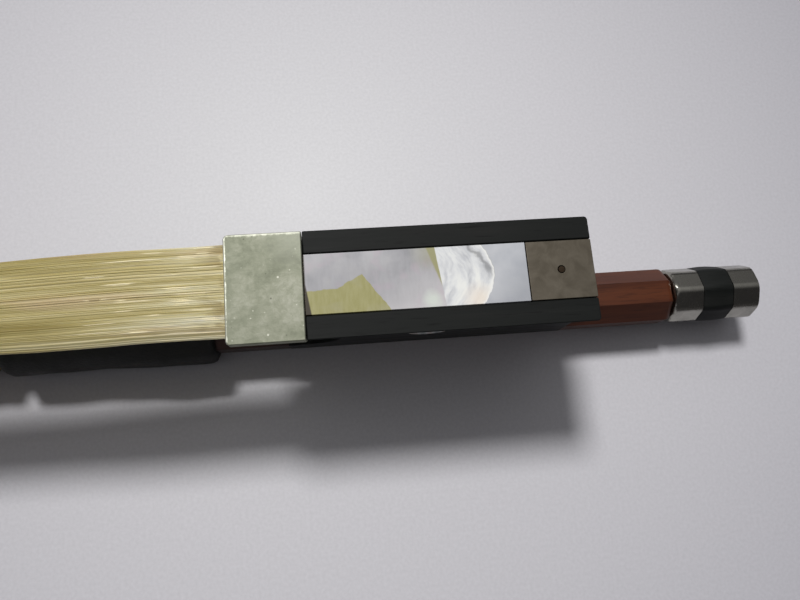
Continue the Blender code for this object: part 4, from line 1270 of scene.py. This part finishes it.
def makeHair():
    # One hank of thin hairs in layers over a close bed that stands for the hairs below them.
    line, ways = hankLine()
    paths = hankPaths(line, ways)
    curve = bpy.data.curves.new("hairHank", "CURVE")
    curve.dimensions = "3D"
    curve.bevel_depth = hank["radius"]
    curve.bevel_resolution = 0
    curve.use_fill_caps = True
    for points, shades in paths:
        spline = curve.splines.new("POLY")
        spline.points.add(len(points) - 1)
        for point, place, shade in zip(spline.points, points, shades):
            point.co = (*place, 1)
            point.radius = 1 + hank["glintWidth"] * max(shade - 1, 0)
    piece = bpy.data.objects.new("hairHank", curve)
    bpy.context.scene.collection.objects.link(piece)
    pickOnly(piece)
    bpy.ops.object.convert(target="MESH")
    piece = bpy.context.object
    each = len(piece.data.vertices) // len(paths)
    values = []
    for k, vertex in enumerate(piece.data.vertices):
        points, shades = paths[k // each]
        nearest = min(range(len(points)), key=lambda row: abs(points[row][0] - vertex.co.x))
        values.append(shades[nearest])
    bed = makeBed(line, ways)
    for part, marks in ((piece, values), (bed, [0.5] * len(bed.data.vertices))):
        shade = part.data.attributes.new("hairToneAndGlint", "FLOAT", "POINT")
        shade.data.foreach_set("value", marks)
    pickOnly(bed, piece)
    bpy.ops.object.join()
    bpy.ops.object.shade_smooth()
    return piece


def makeBed(line, ways):
    # A thin band inside the hank.
    rings = []
    share, bottom, top, rise = hank["bed"]
    for (x, z, wide, thick, drift), way in zip(line, ways):
        half, low, high, crown = share * wide, bottom * thick, top * thick, top * rise * thick
        right = [(half, low), (half, high), (0.3 * half, crown)]
        corners = right + [(-y, v) for y, v in reversed(right)]
        rings.append([(x + way.x * v, y + drift, z + way.y * v) for y, v in corners])
    return skinRings("hairBed", rings)


hairPiece = makeHair()
hairPiece.data.materials.clear()
hairPiece.data.materials.append(horsehair)
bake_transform(hairPiece)
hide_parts("hair_ribbon", "hair_at_frog", "hair_in_head", "hair_in_frog")
print("hair made")


# finishes of the CAD pieces that show as they are

for nodeName, finish in (
    ("head_plug", plainWood),
    ("spread_wedge", plainWood),
    ("slide_backing", ebony),
    ("frog_plug", plainWood),
    ("heel_pin_top", pinMetal),
    ("heel_pin_back", plateNickel),
    ("underslide_screw_front", buttonNickel),
    ("underslide_screw_rear", buttonNickel),
    ("eyelet", brass),
    ("screw", steel),
):
    mesh = nodes[nodeName].data
    mesh.materials.clear()
    mesh.materials.append(finish)
print("fittings finished")


# floor and light

studio = {
    "floorSize": 6.0,
    "floorDrop": 0.00005,
    "paintedLightMiddle": (0.302, 0.022, 0),  # where the floor is brightest
    "sky": 0.5,
    "key": 2.8,
    "keyFrom": (-0.225, 0.575, 1.0),
    "keySize": 11,  # degrees
}


def makeFloor():
    bpy.ops.object.select_all(action="DESELECT")
    bpy.ops.mesh.primitive_plane_add(
        size=studio["floorSize"], location=(0, 0, -studio["floorDrop"])
    )
    floor = bpy.context.object
    floor.name = "paleFloor"
    # plain cotton, laid flat: matt and pale, with a pool of light painted on it round the bow
    finish, add, shader = newFinish("pale cotton floor", Roughness=0.9, Specular_IOR_Level=0.2)
    place = pieceCoordinates(add, shift=-Vector(studio["paintedLightMiddle"]))
    away = add("VectorMath", place, out="Value", operation="LENGTH")
    # painted pool of light: brightest round the bow, darker away from it
    broad = add(
        "ValToRGB", add("MapRange", away, 0.0, 0.6),
        stops=[(0.0, "#dfdfe2"), (0.08, "#cdccd1"), (0.18, "#adacb3"), (1.0, "#bcbbc1")],
    )
    weave = add(
        "ValToRGB", add("TexNoise", Vector=place, Scale=1 / 0.0005, Detail=3),
        stops=[(0.3, "#f6f6f6"), (0.7, "#ffffff")],
    )
    setInputs(shader, Base_Color=add("MixRGB", 1.0, broad, weave, blend_type="MULTIPLY"))
    floor.data.materials.append(finish)


def makeLights():
    world = bpy.data.worlds.new("softRoom")
    bpy.context.scene.world = world
    world.use_nodes = True
    world.node_tree.nodes.clear()
    add = partial(addNode, world.node_tree)
    direction = add("TexCoord", out="Generated")
    # brightest overhead and toward the window, dark on the near side
    away = add("VectorMath", direction, (-0.12, 0.42, 0.9), out="Value", operation="DOT_PRODUCT")
    glow = add(
        "ValToRGB", away,
        stops=[
            (0.0, "#6e6c6e"), (0.4, "#454446"), (0.55, "#626163"), (0.72, "#b4b3b5"),
            (0.88, "#ffffff"),
        ],
    )
    back = add("Background", Color=glow, Strength=studio["sky"])
    seen = add("Background", Color="#c9c9cd", Strength=1.0)
    looked = add("LightPath", out="Is Camera Ray")
    add("OutputWorld", add("MixShader", looked, back, seen), out=None)
    key = bpy.data.lights.new("softKey", "SUN")
    key.energy = studio["key"]
    key.angle = math.radians(studio["keySize"])
    key.color = (1.0, 0.99, 0.975)
    lamp = bpy.data.objects.new("softKey", key)
    bpy.context.scene.collection.objects.link(lamp)
    lamp.rotation_euler = Vector(studio["keyFrom"]).to_track_quat("Z", "Y").to_euler()


makeFloor()
makeLights()
bpy.context.scene.view_settings.view_transform = "Standard"
print("studio set")
